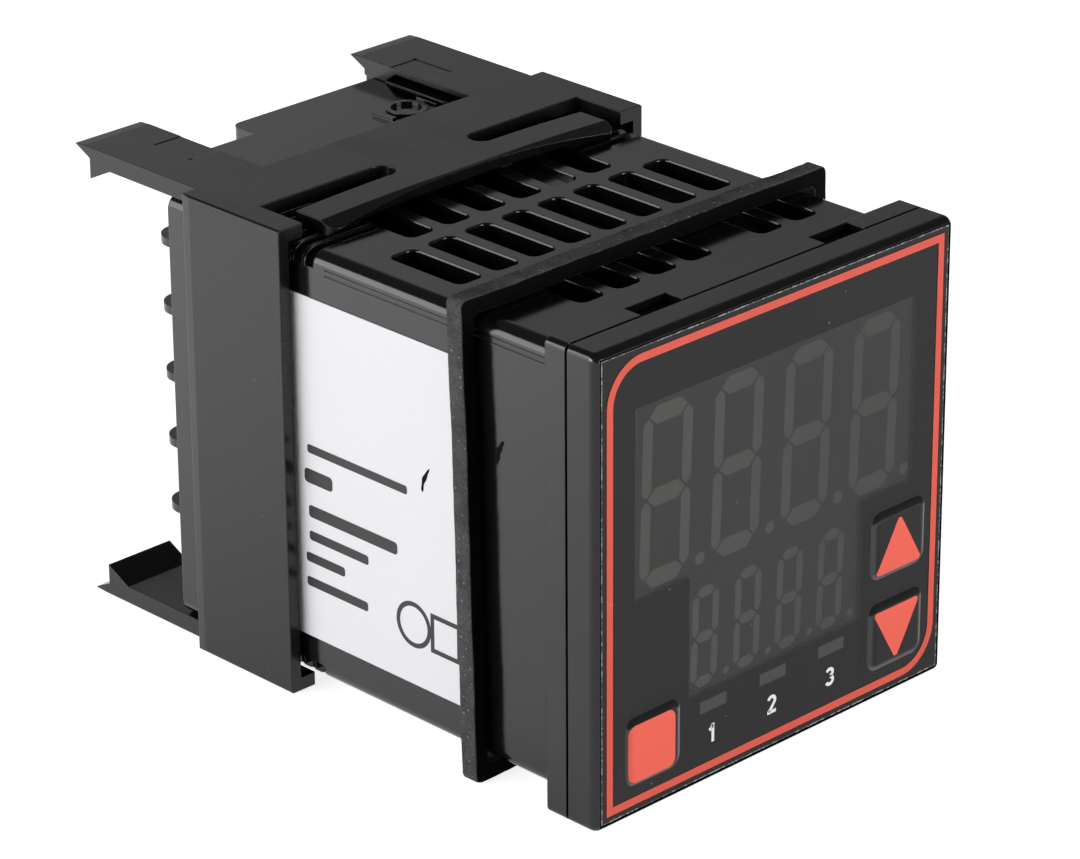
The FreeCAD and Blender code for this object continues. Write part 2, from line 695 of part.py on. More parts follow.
def terminal_contact(side, z):
    """Plate under the clamp, with a blade that runs forward to the side board."""
    face = SIDE_BOARD_X - BOARD_T / 2
    x_in = SCREW_X - CLAMP_W / 2
    h = CONTACT_H / 2
    plate = box(x_in, face, BLOCK_FACE, BLOCK_FACE + CONTACT_T, z - h, z + h)
    blade = box(face - CONTACT_T, face, BLADE_FRONT, BLOCK_FACE + CONTACT_T,
                z - BLADE_H / 2, z + BLADE_H / 2)
    part = fuse([plate, blade]).cut(rod(SCREW_X, z, SCREW_R + SCREW_FIT, BLOCK_FACE - ROOT_CUT,
                                        BLOCK_FACE + CONTACT_T + ROOT_CUT))
    return part if side > 0 else mirror_x(part)


def terminal_clamp(side, z):
    """Square wire clamp with turned-down side lips."""
    y0 = BLOCK_FACE + CONTACT_T
    w, h = CLAMP_W / 2, CLAMP_H / 2
    plate = box(SCREW_X - w, SCREW_X + w, y0, y0 + CLAMP_T, z - h, z + h)
    plate = plate.cut(rod(SCREW_X, z, SCREW_R + SCREW_FIT, y0 - ROOT_CUT, y0 + CLAMP_T + ROOT_CUT))
    edges = [e for e in plate.Edges if along(e, Vector(0, 0, 1)) and e.CenterOfMass.y > y0 + CLAMP_T / 2]
    plate = plate.makeFillet(CLAMP_EDGE_R, edges)
    return plate if side > 0 else mirror_x(plate)


def terminal_screw(side, z):
    """Pan-head screw with a plain driver slot."""
    y0 = BLOCK_FACE + CONTACT_T + CLAMP_T
    head = rod(SCREW_X, z, HEAD_R, y0, y0 + HEAD_T)
    rim = [e for e in head.Edges if abs(e.CenterOfMass.y - y0 - HEAD_T) < NEAR]
    head = head.makeFillet(HEAD_EDGE_R, rim)
    slot = box(SCREW_X - HEAD_R - ROOT_CUT, SCREW_X + HEAD_R + ROOT_CUT, y0 + HEAD_T - HEAD_SLOT,
               y0 + HEAD_T + ROOT_CUT, z - HEAD_SLOT / 2, z + HEAD_SLOT / 2)
    screw = fuse([head.cut(slot), rod(SCREW_X, z, SCREW_R, y0 - SCREW_LEN, y0)])
    return screw if side > 0 else mirror_x(screw)


def terminal_block():
    """Moulded block in the housing's rear mouth, with a fin between neighbouring terminals."""
    half = BORE_HALF - BLOCK_FIT
    base = square_bar(half, BLOCK_FRONT, BLOCK_FACE, BORE_R)
    tall = terminal_z(TERMINALS - 1) + CONTACT_H / 2
    spine = box(-SPINE_HALF, SPINE_HALF, BLOCK_FACE - ROOT_CUT, SPINE_REAR, -tall, tall)
    solids = [base, spine]
    for k in range(TERMINALS - 1):
        z = (terminal_z(k) + terminal_z(k + 1)) / 2
        fin = box(-FIN_HALF, FIN_HALF, BLOCK_FACE - ROOT_CUT, FIN_REAR, z - FIN_T / 2, z + FIN_T / 2)
        corners = [e for e in fin.Edges if along(e, Vector(0, 0, 1)) and e.CenterOfMass.y > BLOCK_FACE]
        solids.append(fin.makeFillet(FIN_R, corners))
    face = SIDE_BOARD_X - BOARD_T / 2
    cutters = []
    for side, z in terminal_places():
        hole = rod(side * SCREW_X, z, SCREW_R + SCREW_FIT, BLOCK_FACE - SCREW_LEN, BLOCK_FACE + ROOT_CUT)
        x0, x1 = sorted((side * (face - CONTACT_T), side * face))
        blade = box(x0, x1, BLOCK_FRONT - ROOT_CUT, BLOCK_FACE + ROOT_CUT, z - BLADE_H / 2, z + BLADE_H / 2)
        cutters += [hole, blade]
    return fuse(solids).cut(cutters)


# ---------------------------------------------------------------- gasket and label
def panel_gasket():
    """Soft frame that leans a little on the case."""
    y0, y1 = GASKET_Y - GASKET_T / 2, GASKET_Y + GASKET_T / 2
    ring = square_bar(CASE_HALF + GASKET_BAND, y0, y1, GASKET_R)
    ring = ring.cut(square_bar(CASE_HALF + GASKET_GAP, y0 - ROOT_CUT, y1 + ROOT_CUT, GASKET_R))
    ring.rotate(Vector(0, GASKET_Y, 0), Vector(1, 0, 0), -GASKET_LEAN)
    return ring


def side_label():
    low = LABEL_MID_Z - LABEL_H / 2
    return box(-CASE_HALF - LABEL_T, -CASE_HALF, LABEL_FRONT, LABEL_FRONT + LABEL_LEN, low, low + LABEL_H)


# ---------------------------------------------------------------- mounting bracket
def nose_y(x):
    """Front of the arm's nose, which reaches further ahead towards the arm's end."""
    return BRACKET_FRONT - NOSE_ROOT - NOSE_REACH * (x / ARM_END) ** 2


def arm_section(x):
    """Closed outline of a spring arm at one x, as (y, z) points."""
    part = max(0.0, (x - SLOT_INNER) / (ARM_END - SLOT_INNER))
    far = x / ARM_END
    top = BRACKET_HALF - ARM_SAG * part ** 2
    low = PLATE_LOW - (PLATE_LOW - CASE_HALF - NOSE_CLEAR) * part ** 2
    rear = BRACKET_FRONT + SLOT_FRONT
    crease = BRACKET_FRONT - CREASE_AHEAD
    nose = nose_y(x)
    nose_top = top - CREASE_FALL - NOSE_FALL * far ** 2
    heel = nose + NOSE_HEEL + NOSE_UNDERCUT * far
    return [(rear, low), (rear, top), (crease, top), (nose, nose_top), (heel, low)]


def spring_arm():
    """Right half of the front arm: a ruled loft from the middle to its drooping end."""
    wires = []
    for k in range(ARM_STATIONS + 1):
        x = ARM_END * k / ARM_STATIONS
        points = [Vector(x, y, z) for y, z in arm_section(x)]
        wires.append(Part.makePolygon(points + points[:1]))
    arm = Part.makeLoft(wires, True, True)
    x, z0, z1 = ARM_END - NOSE_R, CASE_HALF - ROOT_CUT, BRACKET_HALF + ROOT_CUT
    y = nose_y(x) + NOSE_R
    corner = box(x, ARM_END + ROOT_CUT, nose_y(ARM_END) - ROOT_CUT, y, z0, z1)
    disc = Part.makeCylinder(NOSE_R, z1 - z0, Vector(x, y, z0), Vector(0, 0, 1))
    return arm.cut(corner.cut(disc))


def plate_slot():
    """Right slot: round inner end, square outer end that opens to the front beside the arm."""
    y0 = BRACKET_FRONT + SLOT_FRONT
    y1 = y0 + SLOT_W
    z0, z1 = PLATE_LOW - ROOT_CUT, BRACKET_HALF + ROOT_CUT
    r = SLOT_W / 2
    run = box(SLOT_INNER + r, SLOT_OUTER, y0, y1, z0, z1)
    end = Part.makeCylinder(r, z1 - z0, Vector(SLOT_INNER + r, y0 + r, z0), Vector(0, 0, 1))
    mouth = box(ARM_END, SLOT_OUTER, BRACKET_FRONT - ROOT_CUT, y1, z0, z1)
    front = box(-ROOT_CUT, SLOT_OUTER, BRACKET_FRONT - ROOT_CUT, y0, z0, z1)
    return run.fuse([end, mouth, front])


def side_prism(points, x0, x1):
    """Straight prism along X over a closed outline of (y, z) points."""
    corners = [Vector(x0, y, z) for y, z in points]
    return Part.Face(Part.makePolygon(corners + corners[:1])).extrude(Vector(x1 - x0, 0, 0))


def tongue():
    """Latch tongue: plate with a finger wedge, hook below it and a hollow in its inner side."""
    top, low = BRACKET_HALF, BRACKET_HALF - TONGUE_T
    root, lift = BRACKET_REAR - ROOT_CUT, top - LIFT_RISE
    plate = side_prism([(root, top), (TONGUE_REAR - TONGUE_BEVEL, top), (TONGUE_REAR, top - TONGUE_TIP),
                        (HOOK_FACE, lift), (HOOK_FACE, low), (root, low)], TONGUE_IN, TONGUE_OUT)
    hook = side_prism([(HOOK_FACE, lift), (HOOK_FACE, low - HOOK_DROP), (HOOK_FACE - HOOK_RAMP, low),
                       (HOOK_FACE - HOOK_RAMP, lift)], TONGUE_IN + HOOK_INSET, TONGUE_OUT)
    high, deep = top - HOLLOW_TOP, low + HOLLOW_LIP
    front = BRACKET_REAR + HOLLOW_FRONT
    hollow = side_prism([(front, deep), (front, high), (HOLLOW_REAR[0], high), (HOLLOW_REAR[1], deep)],
                        TONGUE_IN - ROOT_CUT, TONGUE_IN + HOLLOW_DEPTH)
    return fuse([plate, hook]).cut(hollow)


def side_band():
    """Sliver off the rear edge of the left side wall."""
    face, rear = -BRACKET_HALF, BRACKET_REAR
    points = [(face, rear - SIDE_BAND_W), (face + SIDE_BAND_T, rear), (face + SIDE_BAND_T, rear + ROOT_CUT),
              (face - ROOT_CUT, rear + ROOT_CUT), (face - ROOT_CUT, rear - SIDE_BAND_W)]
    corners = [Vector(x, y, -BRACKET_HALF) for x, y in points]
    return Part.Face(Part.makePolygon(corners + corners[:1])).extrude(Vector(0, 0, 2 * BRACKET_HALF))


def pit(x, y):
    """Small round pit in the top of a tongue."""
    floor = BRACKET_HALF - PATCH[2] - PIT_DEPTH
    return Part.makeCylinder(PIT_R, BRACKET_HALF + ROOT_CUT - floor, Vector(x, y, floor))


def mounting_bracket():
    """One-piece frame round the case: spring arms in front, latch tongues behind."""
    h = BRACKET_HALF
    frame = box(-h, h, BRACKET_FRONT, BRACKET_REAR, -h, h)
    outer = [e for e in frame.Edges if along(e, Vector(0, 1, 0))]
    frame = frame.makeChamfer(BRACKET_EDGE, outer)
    inner = h - BRACKET_SIDE_T
    frame = frame.cut(box(-inner, inner, BRACKET_FRONT - ROOT_CUT, BRACKET_REAR + ROOT_CUT,
                          -PLATE_LOW, PLATE_LOW))
    slot, arm, latch = plate_slot(), spring_arm(), tongue()
    right = [slot, mirror_z(slot)]
    band = side_band()
    frame = frame.cut(right + [mirror_x(s) for s in right] + [band, mirror_x(band)])
    adds = []
    for piece in (arm, latch):
        adds += [piece, mirror_x(piece), mirror_z(piece), mirror_z(mirror_x(piece))]
    frame = fuse([frame] + adds)
    width, length, depth = PATCH
    pad = box(TONGUE_IN - ROOT_CUT, TONGUE_IN + width, PATCH_FRONT, PATCH_FRONT + length, h - depth,
              h + ROOT_CUT)
    edge = TONGUE_IN + width
    return frame.cut([pad, mirror_x(pad), pit(-edge, PATCH_FRONT), pit(edge, PATCH_FRONT + length)])


# ---------------------------------------------------------------- write every node
def main():
    upper_segments = display_segments(UPPER_WIN, UPPER_MID_X, UPPER_DIGIT)
    lower_segments = display_segments(LOWER_WIN, LOWER_MID_X, LOWER_DIGIT)
    core, coil = transformer()
    nodes = {
        "housing": housing(),
        "front_bezel": front_bezel(),
        "front_overlay": front_overlay(),
        "outline_print": outline_print(),
        "display_window": display_window(),
        "indicator_windows": Part.makeCompound(led_windows(FILM_Y, FILM_BACK)),
        "key_up": key_cap(KEY_UP),
        "key_down": key_cap(KEY_DOWN),
        "key_menu": key_cap(KEY_MENU),
        "key_up_symbol": arrow(KEY_UP, 1),
        "key_down_symbol": arrow(KEY_DOWN, -1),
        "key_menu_symbol": menu_square(),
        "key_up_plunger": plunger(KEY_UP),
        "key_down_plunger": plunger(KEY_DOWN),
        "key_menu_plunger": plunger(KEY_MENU),
        "tact_switches": tact_switches(),
        "upper_display": display_module(UPPER_WIN, upper_segments),
        "upper_segments": upper_segments,
        "lower_display": display_module(LOWER_WIN, lower_segments),
        "lower_segments": lower_segments,
        "indicator_leds": indicator_leds(),
        "display_board": display_board(),
        "main_board": side_board(-1),
        "power_board": side_board(1),
        "main_header": board_header(-1),
        "power_header": board_header(1),
        "microcontroller": on_board(-1, CHIP, CHIP_FRONT, CHIP_LOW),
        "sensor_amplifier": sensor_amplifier(),
        "capacitors": capacitors(),
        "transformer_core": core,
        "transformer_coil": coil,
        "relays": relays(),
        "terminal_block": terminal_block(),
        "terminal_contacts": Part.makeCompound([terminal_contact(s, z) for s, z in terminal_places()]),
        "terminal_clamps": Part.makeCompound([terminal_clamp(s, z) for s, z in terminal_places()]),
        "terminal_screws": Part.makeCompound([terminal_screw(s, z) for s, z in terminal_places()]),
        "panel_gasket": panel_gasket(),
        "side_label": side_label(),
        "mounting_bracket": mounting_bracket(),
    }
    for node, shape in nodes.items():
        save(node, shape)


main()
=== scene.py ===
# %% [markdown]
# # A panel-mounting temperature controller
# This lesson dresses a finished CAD model of a small process controller. The instrument is a
# square black case that slides into a panel cut-out from the front. It has a foam gasket and a
# clip-on bracket round its body, and screw terminals between fins at the back.
#
# The CAD model is a fixed frame: its nodes keep their shape and place, and get better materials.
# Pieces that are soft or printed, such as the foam gasket, the embossed keys and the figures, are
# made here as meshes; all but the keys' skins and symbols ride on the controller's body.

# %% Load the frame
import math
import random

import bpy
from mathutils import Matrix, Vector, noise


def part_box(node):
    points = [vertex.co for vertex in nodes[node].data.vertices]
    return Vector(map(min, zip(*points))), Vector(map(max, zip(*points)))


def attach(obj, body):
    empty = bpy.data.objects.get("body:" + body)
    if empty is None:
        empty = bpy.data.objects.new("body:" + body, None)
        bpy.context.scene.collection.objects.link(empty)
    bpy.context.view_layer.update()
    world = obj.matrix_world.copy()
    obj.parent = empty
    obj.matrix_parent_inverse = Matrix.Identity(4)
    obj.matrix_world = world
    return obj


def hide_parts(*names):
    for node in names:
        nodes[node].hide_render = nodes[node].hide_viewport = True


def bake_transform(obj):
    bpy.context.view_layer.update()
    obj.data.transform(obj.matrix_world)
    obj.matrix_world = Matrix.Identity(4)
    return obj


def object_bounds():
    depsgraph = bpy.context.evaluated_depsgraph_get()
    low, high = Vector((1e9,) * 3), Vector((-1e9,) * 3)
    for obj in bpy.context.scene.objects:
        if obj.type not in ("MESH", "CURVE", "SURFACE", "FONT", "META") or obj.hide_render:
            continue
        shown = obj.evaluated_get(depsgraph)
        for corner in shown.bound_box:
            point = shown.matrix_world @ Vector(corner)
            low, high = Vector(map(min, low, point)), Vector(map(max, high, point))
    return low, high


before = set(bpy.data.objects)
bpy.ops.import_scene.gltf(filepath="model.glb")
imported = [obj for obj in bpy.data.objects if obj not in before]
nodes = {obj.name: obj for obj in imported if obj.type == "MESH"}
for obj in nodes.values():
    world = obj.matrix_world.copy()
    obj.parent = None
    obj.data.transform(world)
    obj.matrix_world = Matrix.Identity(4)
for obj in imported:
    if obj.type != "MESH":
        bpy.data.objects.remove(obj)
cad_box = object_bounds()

MM = 0.001

# %% [markdown]
# ## Measuring from the frame
# Every place comes from the CAD nodes' own boxes, so a piece made here still fits if the model
# changes. `low` and `high` read a corner of a node's box in millimetres.

# %% Read the frame's places
def low(node, axis):
    """Lowest coordinate of a node along an axis, in millimetres."""
    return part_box(node)[0]["xyz".index(axis)] / MM


def high(node, axis):
    """Highest coordinate of a node along an axis, in millimetres."""
    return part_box(node)[1]["xyz".index(axis)] / MM


FILM_Y = low("front_overlay", "y")
CASE_SIDE = low("side_label", "x")
FLOOR_Z = cad_box[0][2]
print("film face at y", round(FILM_Y, 2), "mm, floor at z", round(FLOOR_Z / MM, 2), "mm")

# %% [markdown]
# ## Effects shared by several finishes
# A group of shader nodes is built once and placed in each material that needs it, with its own
# values. A group here gives only heights, masks and factors. The Principled shader stays in the
# material, where its constants are set on its own sockets.

# %% Helpers for shader groups
def new_group(name, inputs, outputs):
    """Empty shader group with float inputs (name: default) and float outputs."""
    group = bpy.data.node_groups.new(name, "ShaderNodeTree")
    for label, value in inputs.items():
        socket = group.interface.new_socket(label, in_out="INPUT", socket_type="NodeSocketFloat")
        socket.default_value = value
    for label in outputs:
        group.interface.new_socket(label, in_out="OUTPUT", socket_type="NodeSocketFloat")
    return group, group.nodes.new("NodeGroupInput"), group.nodes.new("NodeGroupOutput")


def maths(tree, operation, a, b=None, clamp=False):
    """Math node over two sockets or numbers; returns its output socket."""
    node = tree.nodes.new("ShaderNodeMath")
    node.operation = operation
    node.use_clamp = clamp
    for socket, value in zip(node.inputs, (a, b)):
        if value is None:
            continue
        if isinstance(value, (int, float)):
            socket.default_value = value
        else:
            tree.links.new(value, socket)
    return node.outputs[0]


print("helpers for groups and sums defined")

# %% Places, directions, noise and ramps
def object_coordinates(tree):
    """Place on the object, in metres."""
    return tree.nodes.new("ShaderNodeTexCoord").outputs["Object"]


def axes_of(tree, vector):
    """X, Y and Z of a vector socket, as outputs by name."""
    node = tree.nodes.new("ShaderNodeSeparateXYZ")
    tree.links.new(vector, node.inputs["Vector"])
    return node.outputs


def facing_axes(tree):
    """Which way the surface faces on the object: its normal's X, Y and Z."""
    return axes_of(tree, tree.nodes.new("ShaderNodeTexCoord").outputs["Normal"])


def noise_at(tree, vector, scale, detail=2.0, roughness=0.5):
    """Noise texture whose scale is in features per metre."""
    node = tree.nodes.new("ShaderNodeTexNoise")
    node.inputs["Detail"].default_value = detail
    node.inputs["Roughness"].default_value = roughness
    tree.links.new(vector, node.inputs["Vector"])
    if isinstance(scale, (int, float)):
        node.inputs["Scale"].default_value = scale
    else:
        tree.links.new(scale, node.inputs["Scale"])
    return node.outputs["Fac"]


def ramp(tree, value, start, end):
    """Smooth step of a value from 0 at start to 1 at end."""
    node = tree.nodes.new("ShaderNodeMapRange")
    node.interpolation_type = "SMOOTHSTEP"
    for label, number in (("From Min", start), ("From Max", end)):
        if isinstance(number, (int, float)):
            node.inputs[label].default_value = number
        else:
            tree.links.new(number, node.inputs[label])
    tree.links.new(value, node.inputs["Value"])
    return node.outputs["Result"]


print("helpers for places and ramps defined")

# %% Fine grain of a moulded or printed surface
def make_grain_group():
    """Even fine grain over slow waves: a height for bumps and a factor for tone."""
    group, given, result = new_group(
        "fine_grain", {"Grain Scale": 9000.0, "Wave Scale": 60.0, "Wave Share": 0.5}, ["Height", "Tone"])
    place = object_coordinates(group)
    grain = noise_at(group, place, given.outputs["Grain Scale"], 3.0, 0.6)
    wave = noise_at(group, place, given.outputs["Wave Scale"], 2.0, 0.5)
    waves = maths(group, "MULTIPLY", wave, given.outputs["Wave Share"])
    group.links.new(maths(group, "ADD", grain, waves), result.inputs["Height"])
    group.links.new(wave, result.inputs["Tone"])
    return group


grain_group = make_grain_group()
print("group:", grain_group.name)

# %% Specks of dust and lint
def make_dust_group():
    """Sparse pale specks: a mask that is 1 on a speck and 0 elsewhere."""
    group, given, result = new_group(
        "dust_specks", {"Scale": 450.0, "Size": 0.11, "Share": 0.06}, ["Mask"])
    place = object_coordinates(group)
    cells = group.nodes.new("ShaderNodeTexVoronoi")
    cells.inputs["Randomness"].default_value = 1.0
    group.links.new(place, cells.inputs["Vector"])
    group.links.new(given.outputs["Scale"], cells.inputs["Scale"])
    inside = ramp(group, cells.outputs["Distance"], given.outputs["Size"], 0.02)
    chance = group.nodes.new("ShaderNodeSeparateColor")
    group.links.new(cells.outputs["Color"], chance.inputs["Color"])
    chosen = maths(group, "LESS_THAN", chance.outputs["Red"], given.outputs["Share"])
    group.links.new(maths(group, "MULTIPLY", inside, chosen), result.inputs["Mask"])
    return group


dust_group = make_dust_group()
print("group:", dust_group.name)

# %% Faint rubs from handling
def make_rub_group():
    """Long soft streaks where a surface has been handled, as a factor from 0 to 1."""
    group, given, result = new_group("handling_rubs", {"Scale": 45.0, "Amount": 0.5}, ["Factor"])
    stretch = group.nodes.new("ShaderNodeVectorMath")
    stretch.operation = "MULTIPLY"
    stretch.inputs[1].default_value = (3.0, 0.8, 1.0)
    group.links.new(object_coordinates(group), stretch.inputs[0])
    streaks = noise_at(group, stretch.outputs["Vector"], given.outputs["Scale"], 6.0, 0.7)
    shaped = ramp(group, streaks, 0.45, 0.75)
    group.links.new(maths(group, "MULTIPLY", shaped, given.outputs["Amount"]), result.inputs["Factor"])
    return group


rub_group = make_rub_group()
print("group:", rub_group.name)

# %% [markdown]
# ## One recipe for plastics
# The case, the bracket, the front film and the prints are all plastics or inks. They differ in
# colour, gloss and grain, so one function builds the node tree and each material passes its own
# numbers. The slow tone moves the base colour a little, rubs raise the roughness, and specks of
# dust lie on top.

# %% Helpers for materials
def new_material(name):
    """Material with only a Principled shader and an output; returns both and the tree."""
    material = bpy.data.materials.new(name)
    material.use_nodes = True
    tree = material.node_tree
    return material, tree, tree.nodes["Principled BSDF"]


def place_group(tree, group, **values):
    """Instance of a shared group, with its inputs given by name."""
    node = tree.nodes.new("ShaderNodeGroup")
    node.node_tree = group
    for label, value in values.items():
        node.inputs[label.replace("_", " ").title()].default_value = value
    return node


def blend_colour(tree, factor, first, second):
    """Mix of two colours, each an RGB triple or a socket."""
    node = tree.nodes.new("ShaderNodeMix")
    node.data_type = "RGBA"
    tree.links.new(factor, node.inputs["Factor"])
    for socket, colour in ((node.inputs[6], first), (node.inputs[7], second)):
        if isinstance(colour, tuple):
            socket.default_value = (*colour, 1.0)
        else:
            tree.links.new(colour, socket)
    return node.outputs[2]


def bump_from(tree, shader, height, distance, edge=0.0):
    """Bump of a given depth in millimetres into the shader's normal, over softened edges."""
    node = tree.nodes.new("ShaderNodeBump")
    node.inputs["Distance"].default_value = distance * MM
    tree.links.new(height, node.inputs["Height"])
    if edge:
        soften = tree.nodes.new("ShaderNodeBevel")
        soften.samples = 6
        soften.inputs["Radius"].default_value = edge * MM
        tree.links.new(soften.outputs["Normal"], node.inputs["Normal"])
    tree.links.new(node.outputs["Normal"], shader.inputs["Normal"])


print("helpers for materials defined")

# %% Plastic recipe, and dressing a node
def plastic(name, colour, roughness, grain=0.004, grain_scale=9000.0, specular=0.5, vary=0.15,
            rubs=0.1, dust=0.05, dust_colour=(0.45, 0.45, 0.44), dust_scale=450.0, wave=0.5, edge=0.0):
    """Moulded plastic, film or ink with grain, rubs, dust and edges softened by a radius."""
    material, tree, shader = new_material(name)
    shader.inputs["Specular IOR Level"].default_value = specular
    grain_node = place_group(tree, grain_group, grain_scale=grain_scale, wave_share=wave)
    rub_node = place_group(tree, rub_group, amount=rubs)
    dark = tuple(c * (1.0 - vary) for c in colour)
    light = tuple(min(1.0, c * (1.0 + vary)) for c in colour)
    tone = blend_colour(tree, grain_node.outputs["Tone"], dark, light)
    dust_node = place_group(tree, dust_group, share=dust, scale=dust_scale)
    tone = blend_colour(tree, dust_node.outputs["Mask"], tone, dust_colour)
    tree.links.new(tone, shader.inputs["Base Color"])
    rough = maths(tree, "ADD", roughness, maths(tree, "MULTIPLY", rub_node.outputs["Factor"], 0.5))
    dusty = maths(tree, "MULTIPLY", dust_node.outputs["Mask"], 0.5)
    tree.links.new(maths(tree, "ADD", rough, dusty, clamp=True), shader.inputs["Roughness"])
    bump_from(tree, shader, grain_node.outputs["Height"], grain, edge)
    return material


def dress(node, material):
    """Gives a CAD node one material."""
    mesh = nodes[node].data
    mesh.materials.clear()
    mesh.materials.append(material)


print("recipe defined")

# %% [markdown]
# ## The black mouldings
# The case and the bezel are glossy black, and mirror the gasket and the bracket. Their base colour
# is nearly nothing: what the eye reads as a dark grey is the pale floor and the room, mirrored. The
# bracket is the same kind of plastic from a duller mould, a little browner, so it has a higher
# roughness. The terminal block is plain and half matte. A Bevel node softens the shading of each
# sharp edge by a tenth or two of a millimetre, as a mould does.

# %% Case, bezel, bracket and terminal block
case_black = plastic("case_gloss_black", (0.0042, 0.0045, 0.0058), 0.13, grain=0.0012, rubs=0.08,
                     specular=0.66, dust=0.02, dust_colour=(0.25, 0.25, 0.25), dust_scale=700.0,
                     wave=2.0, edge=0.14)
bezel_black = plastic("bezel_gloss_black", (0.0042, 0.0045, 0.0056), 0.15, grain=0.0012, rubs=0.08,
                      specular=0.6, dust=0.03, dust_colour=(0.3, 0.3, 0.3), dust_scale=700.0,
                      wave=2.0, edge=0.12)
bracket_black = plastic("bracket_satin_black", (0.0068, 0.0071, 0.0060), 0.24, grain=0.003,
                        grain_scale=5000.0, specular=0.43, rubs=0.14, dust=0.012,
                        dust_colour=(0.16, 0.16, 0.15), dust_scale=700.0, wave=1.0, edge=0.2)
block_black = plastic("terminal_block_black", (0.008, 0.008, 0.009), 0.3, grain=0.003, dust=0.03,
                      edge=0.15)
dress("housing", case_black)
dress("front_bezel", bezel_black)
dress("mounting_bracket", bracket_black)
dress("terminal_block", block_black)
print("mouldings dressed")

# %% [markdown]
# ## The front film and its windows
# The front is a polyester film with a fine matte grain, printed charcoal from behind. Where the
# print stops, the film is smoked and clear, and the digit segments show through it as paler
# shapes. The window is partly see-through by its alpha, which keeps the segments crisp at any
# angle without bending light twice through a film this thin. The three indicator windows below
# are nearly closed, so they read as slightly paler bars.

# %% Film and windows
FILM_ROUGH, FILM_SPECULAR = 0.29, 0.34
FILM_GRAIN = 14000.0
film_grey = plastic("film_charcoal", (0.0055, 0.0056, 0.0060), FILM_ROUGH, grain=0.0022,
                    grain_scale=FILM_GRAIN, specular=FILM_SPECULAR, rubs=0.06, dust=0.03,
                    dust_scale=900.0, dust_colour=(0.3, 0.3, 0.3))


def smoked_film(name, colour, alpha):
    """Clear smoked film: a thin dark veil over what lies behind."""
    material, tree, shader = new_material(name)
    shader.inputs["Roughness"].default_value = FILM_ROUGH
    shader.inputs["Specular IOR Level"].default_value = FILM_SPECULAR
    grain_node = place_group(tree, grain_group, grain_scale=FILM_GRAIN, wave_share=0.3)
    dust_node = place_group(tree, dust_group, share=0.03, scale=900.0)
    darker = tuple(c * 0.9 for c in colour)
    tone = blend_colour(tree, grain_node.outputs["Tone"], darker, colour)
    tone = blend_colour(tree, dust_node.outputs["Mask"], tone, (0.4, 0.4, 0.39))
    tree.links.new(tone, shader.inputs["Base Color"])
    veil = maths(tree, "MAXIMUM", dust_node.outputs["Mask"], alpha)
    tree.links.new(veil, shader.inputs["Alpha"])
    bump_from(tree, shader, grain_node.outputs["Height"], 0.0025)
    return material


window_smoke = smoked_film("window_smoke", (0.060, 0.060, 0.0605), 0.5)
indicator_smoke = smoked_film("indicator_smoke", (0.062, 0.062, 0.0625), 0.9)
print("films:", film_grey.name, window_smoke.name, indicator_smoke.name)

# %% Displays and prints
display_grey = plastic("display_body_grey", (0.035, 0.035, 0.0355), 0.6, dust=0.0, rubs=0.0)
lamp_grey = plastic("lamp_unlit", (0.22, 0.22, 0.21), 0.5, dust=0.0, rubs=0.0)
red_print = plastic("red_print", (0.80, 0.115, 0.075), 0.45, grain=0.002, grain_scale=FILM_GRAIN,
                    specular=0.35, vary=0.04, rubs=0.05, dust=0.02, dust_colour=(0.85, 0.5, 0.45))
outline_red = plastic("outline_red", (0.66, 0.092, 0.062), 0.45, grain=0.002, grain_scale=FILM_GRAIN,
                      specular=0.3, vary=0.06, rubs=0.05, dust=0.05, dust_colour=(0.75, 0.45, 0.4))
white_print = plastic("white_print", (0.78, 0.78, 0.76), 0.5, grain=0.002, vary=0.03, dust=0.0)


def segment_resin_painted_light():
    """Unlit segment resin, with painted light that makes it paler towards the left of the display."""
    material, tree, shader = new_material("segment_unlit")
    shader.inputs["Roughness"].default_value = 0.5
    # painted light: the resin's colour grows paler towards the left of the display
    side = ramp(tree, axes_of(tree, object_coordinates(tree))["X"], -0.018, 0.012)
    tree.links.new(blend_colour(tree, side, (0.56, 0.56, 0.47), (0.36, 0.36, 0.31)),
                   shader.inputs["Base Color"])
    return material


segment_grey = segment_resin_painted_light()
print("prints:", red_print.name, outline_red.name, white_print.name)

# %% Dress the front
for node, material in (("front_overlay", film_grey), ("display_window", window_smoke),
                       ("indicator_windows", indicator_smoke), ("outline_print", outline_red),
                       ("upper_display", display_grey), ("lower_display", display_grey),
                       ("upper_segments", segment_grey), ("lower_segments", segment_grey),
                       ("indicator_leds", lamp_grey)):
    dress(node, material)
print("front dressed")

# %% [markdown]
# ## Metal and the hidden parts
# The terminals are zinc-plated screws and wire clamps over brass contacts. Behind the front are
# circuit boards, two relays, a transformer and small parts that only show through the vents.
# Each gets a plain finish; the boards and relays keep their own hues, darkened as painted shade for the
# inside of the case.

# %% Metals
def plated(name, colour, roughness, scale=3000.0):
    """Plated or bare metal with fine tumble marks."""
    material, tree, shader = new_material(name)
    shader.inputs["Metallic"].default_value = 1.0
    grain_node = place_group(tree, grain_group, grain_scale=scale, wave_scale=300.0)
    dark = tuple(c * 0.8 for c in colour)
    tone = blend_colour(tree, grain_node.outputs["Tone"], dark, colour)
    tree.links.new(tone, shader.inputs["Base Color"])
    rough = maths(tree, "ADD", roughness, maths(tree, "MULTIPLY", grain_node.outputs["Tone"], 0.12))
    tree.links.new(rough, shader.inputs["Roughness"])
    bump_from(tree, shader, grain_node.outputs["Height"], 0.004)
    return material


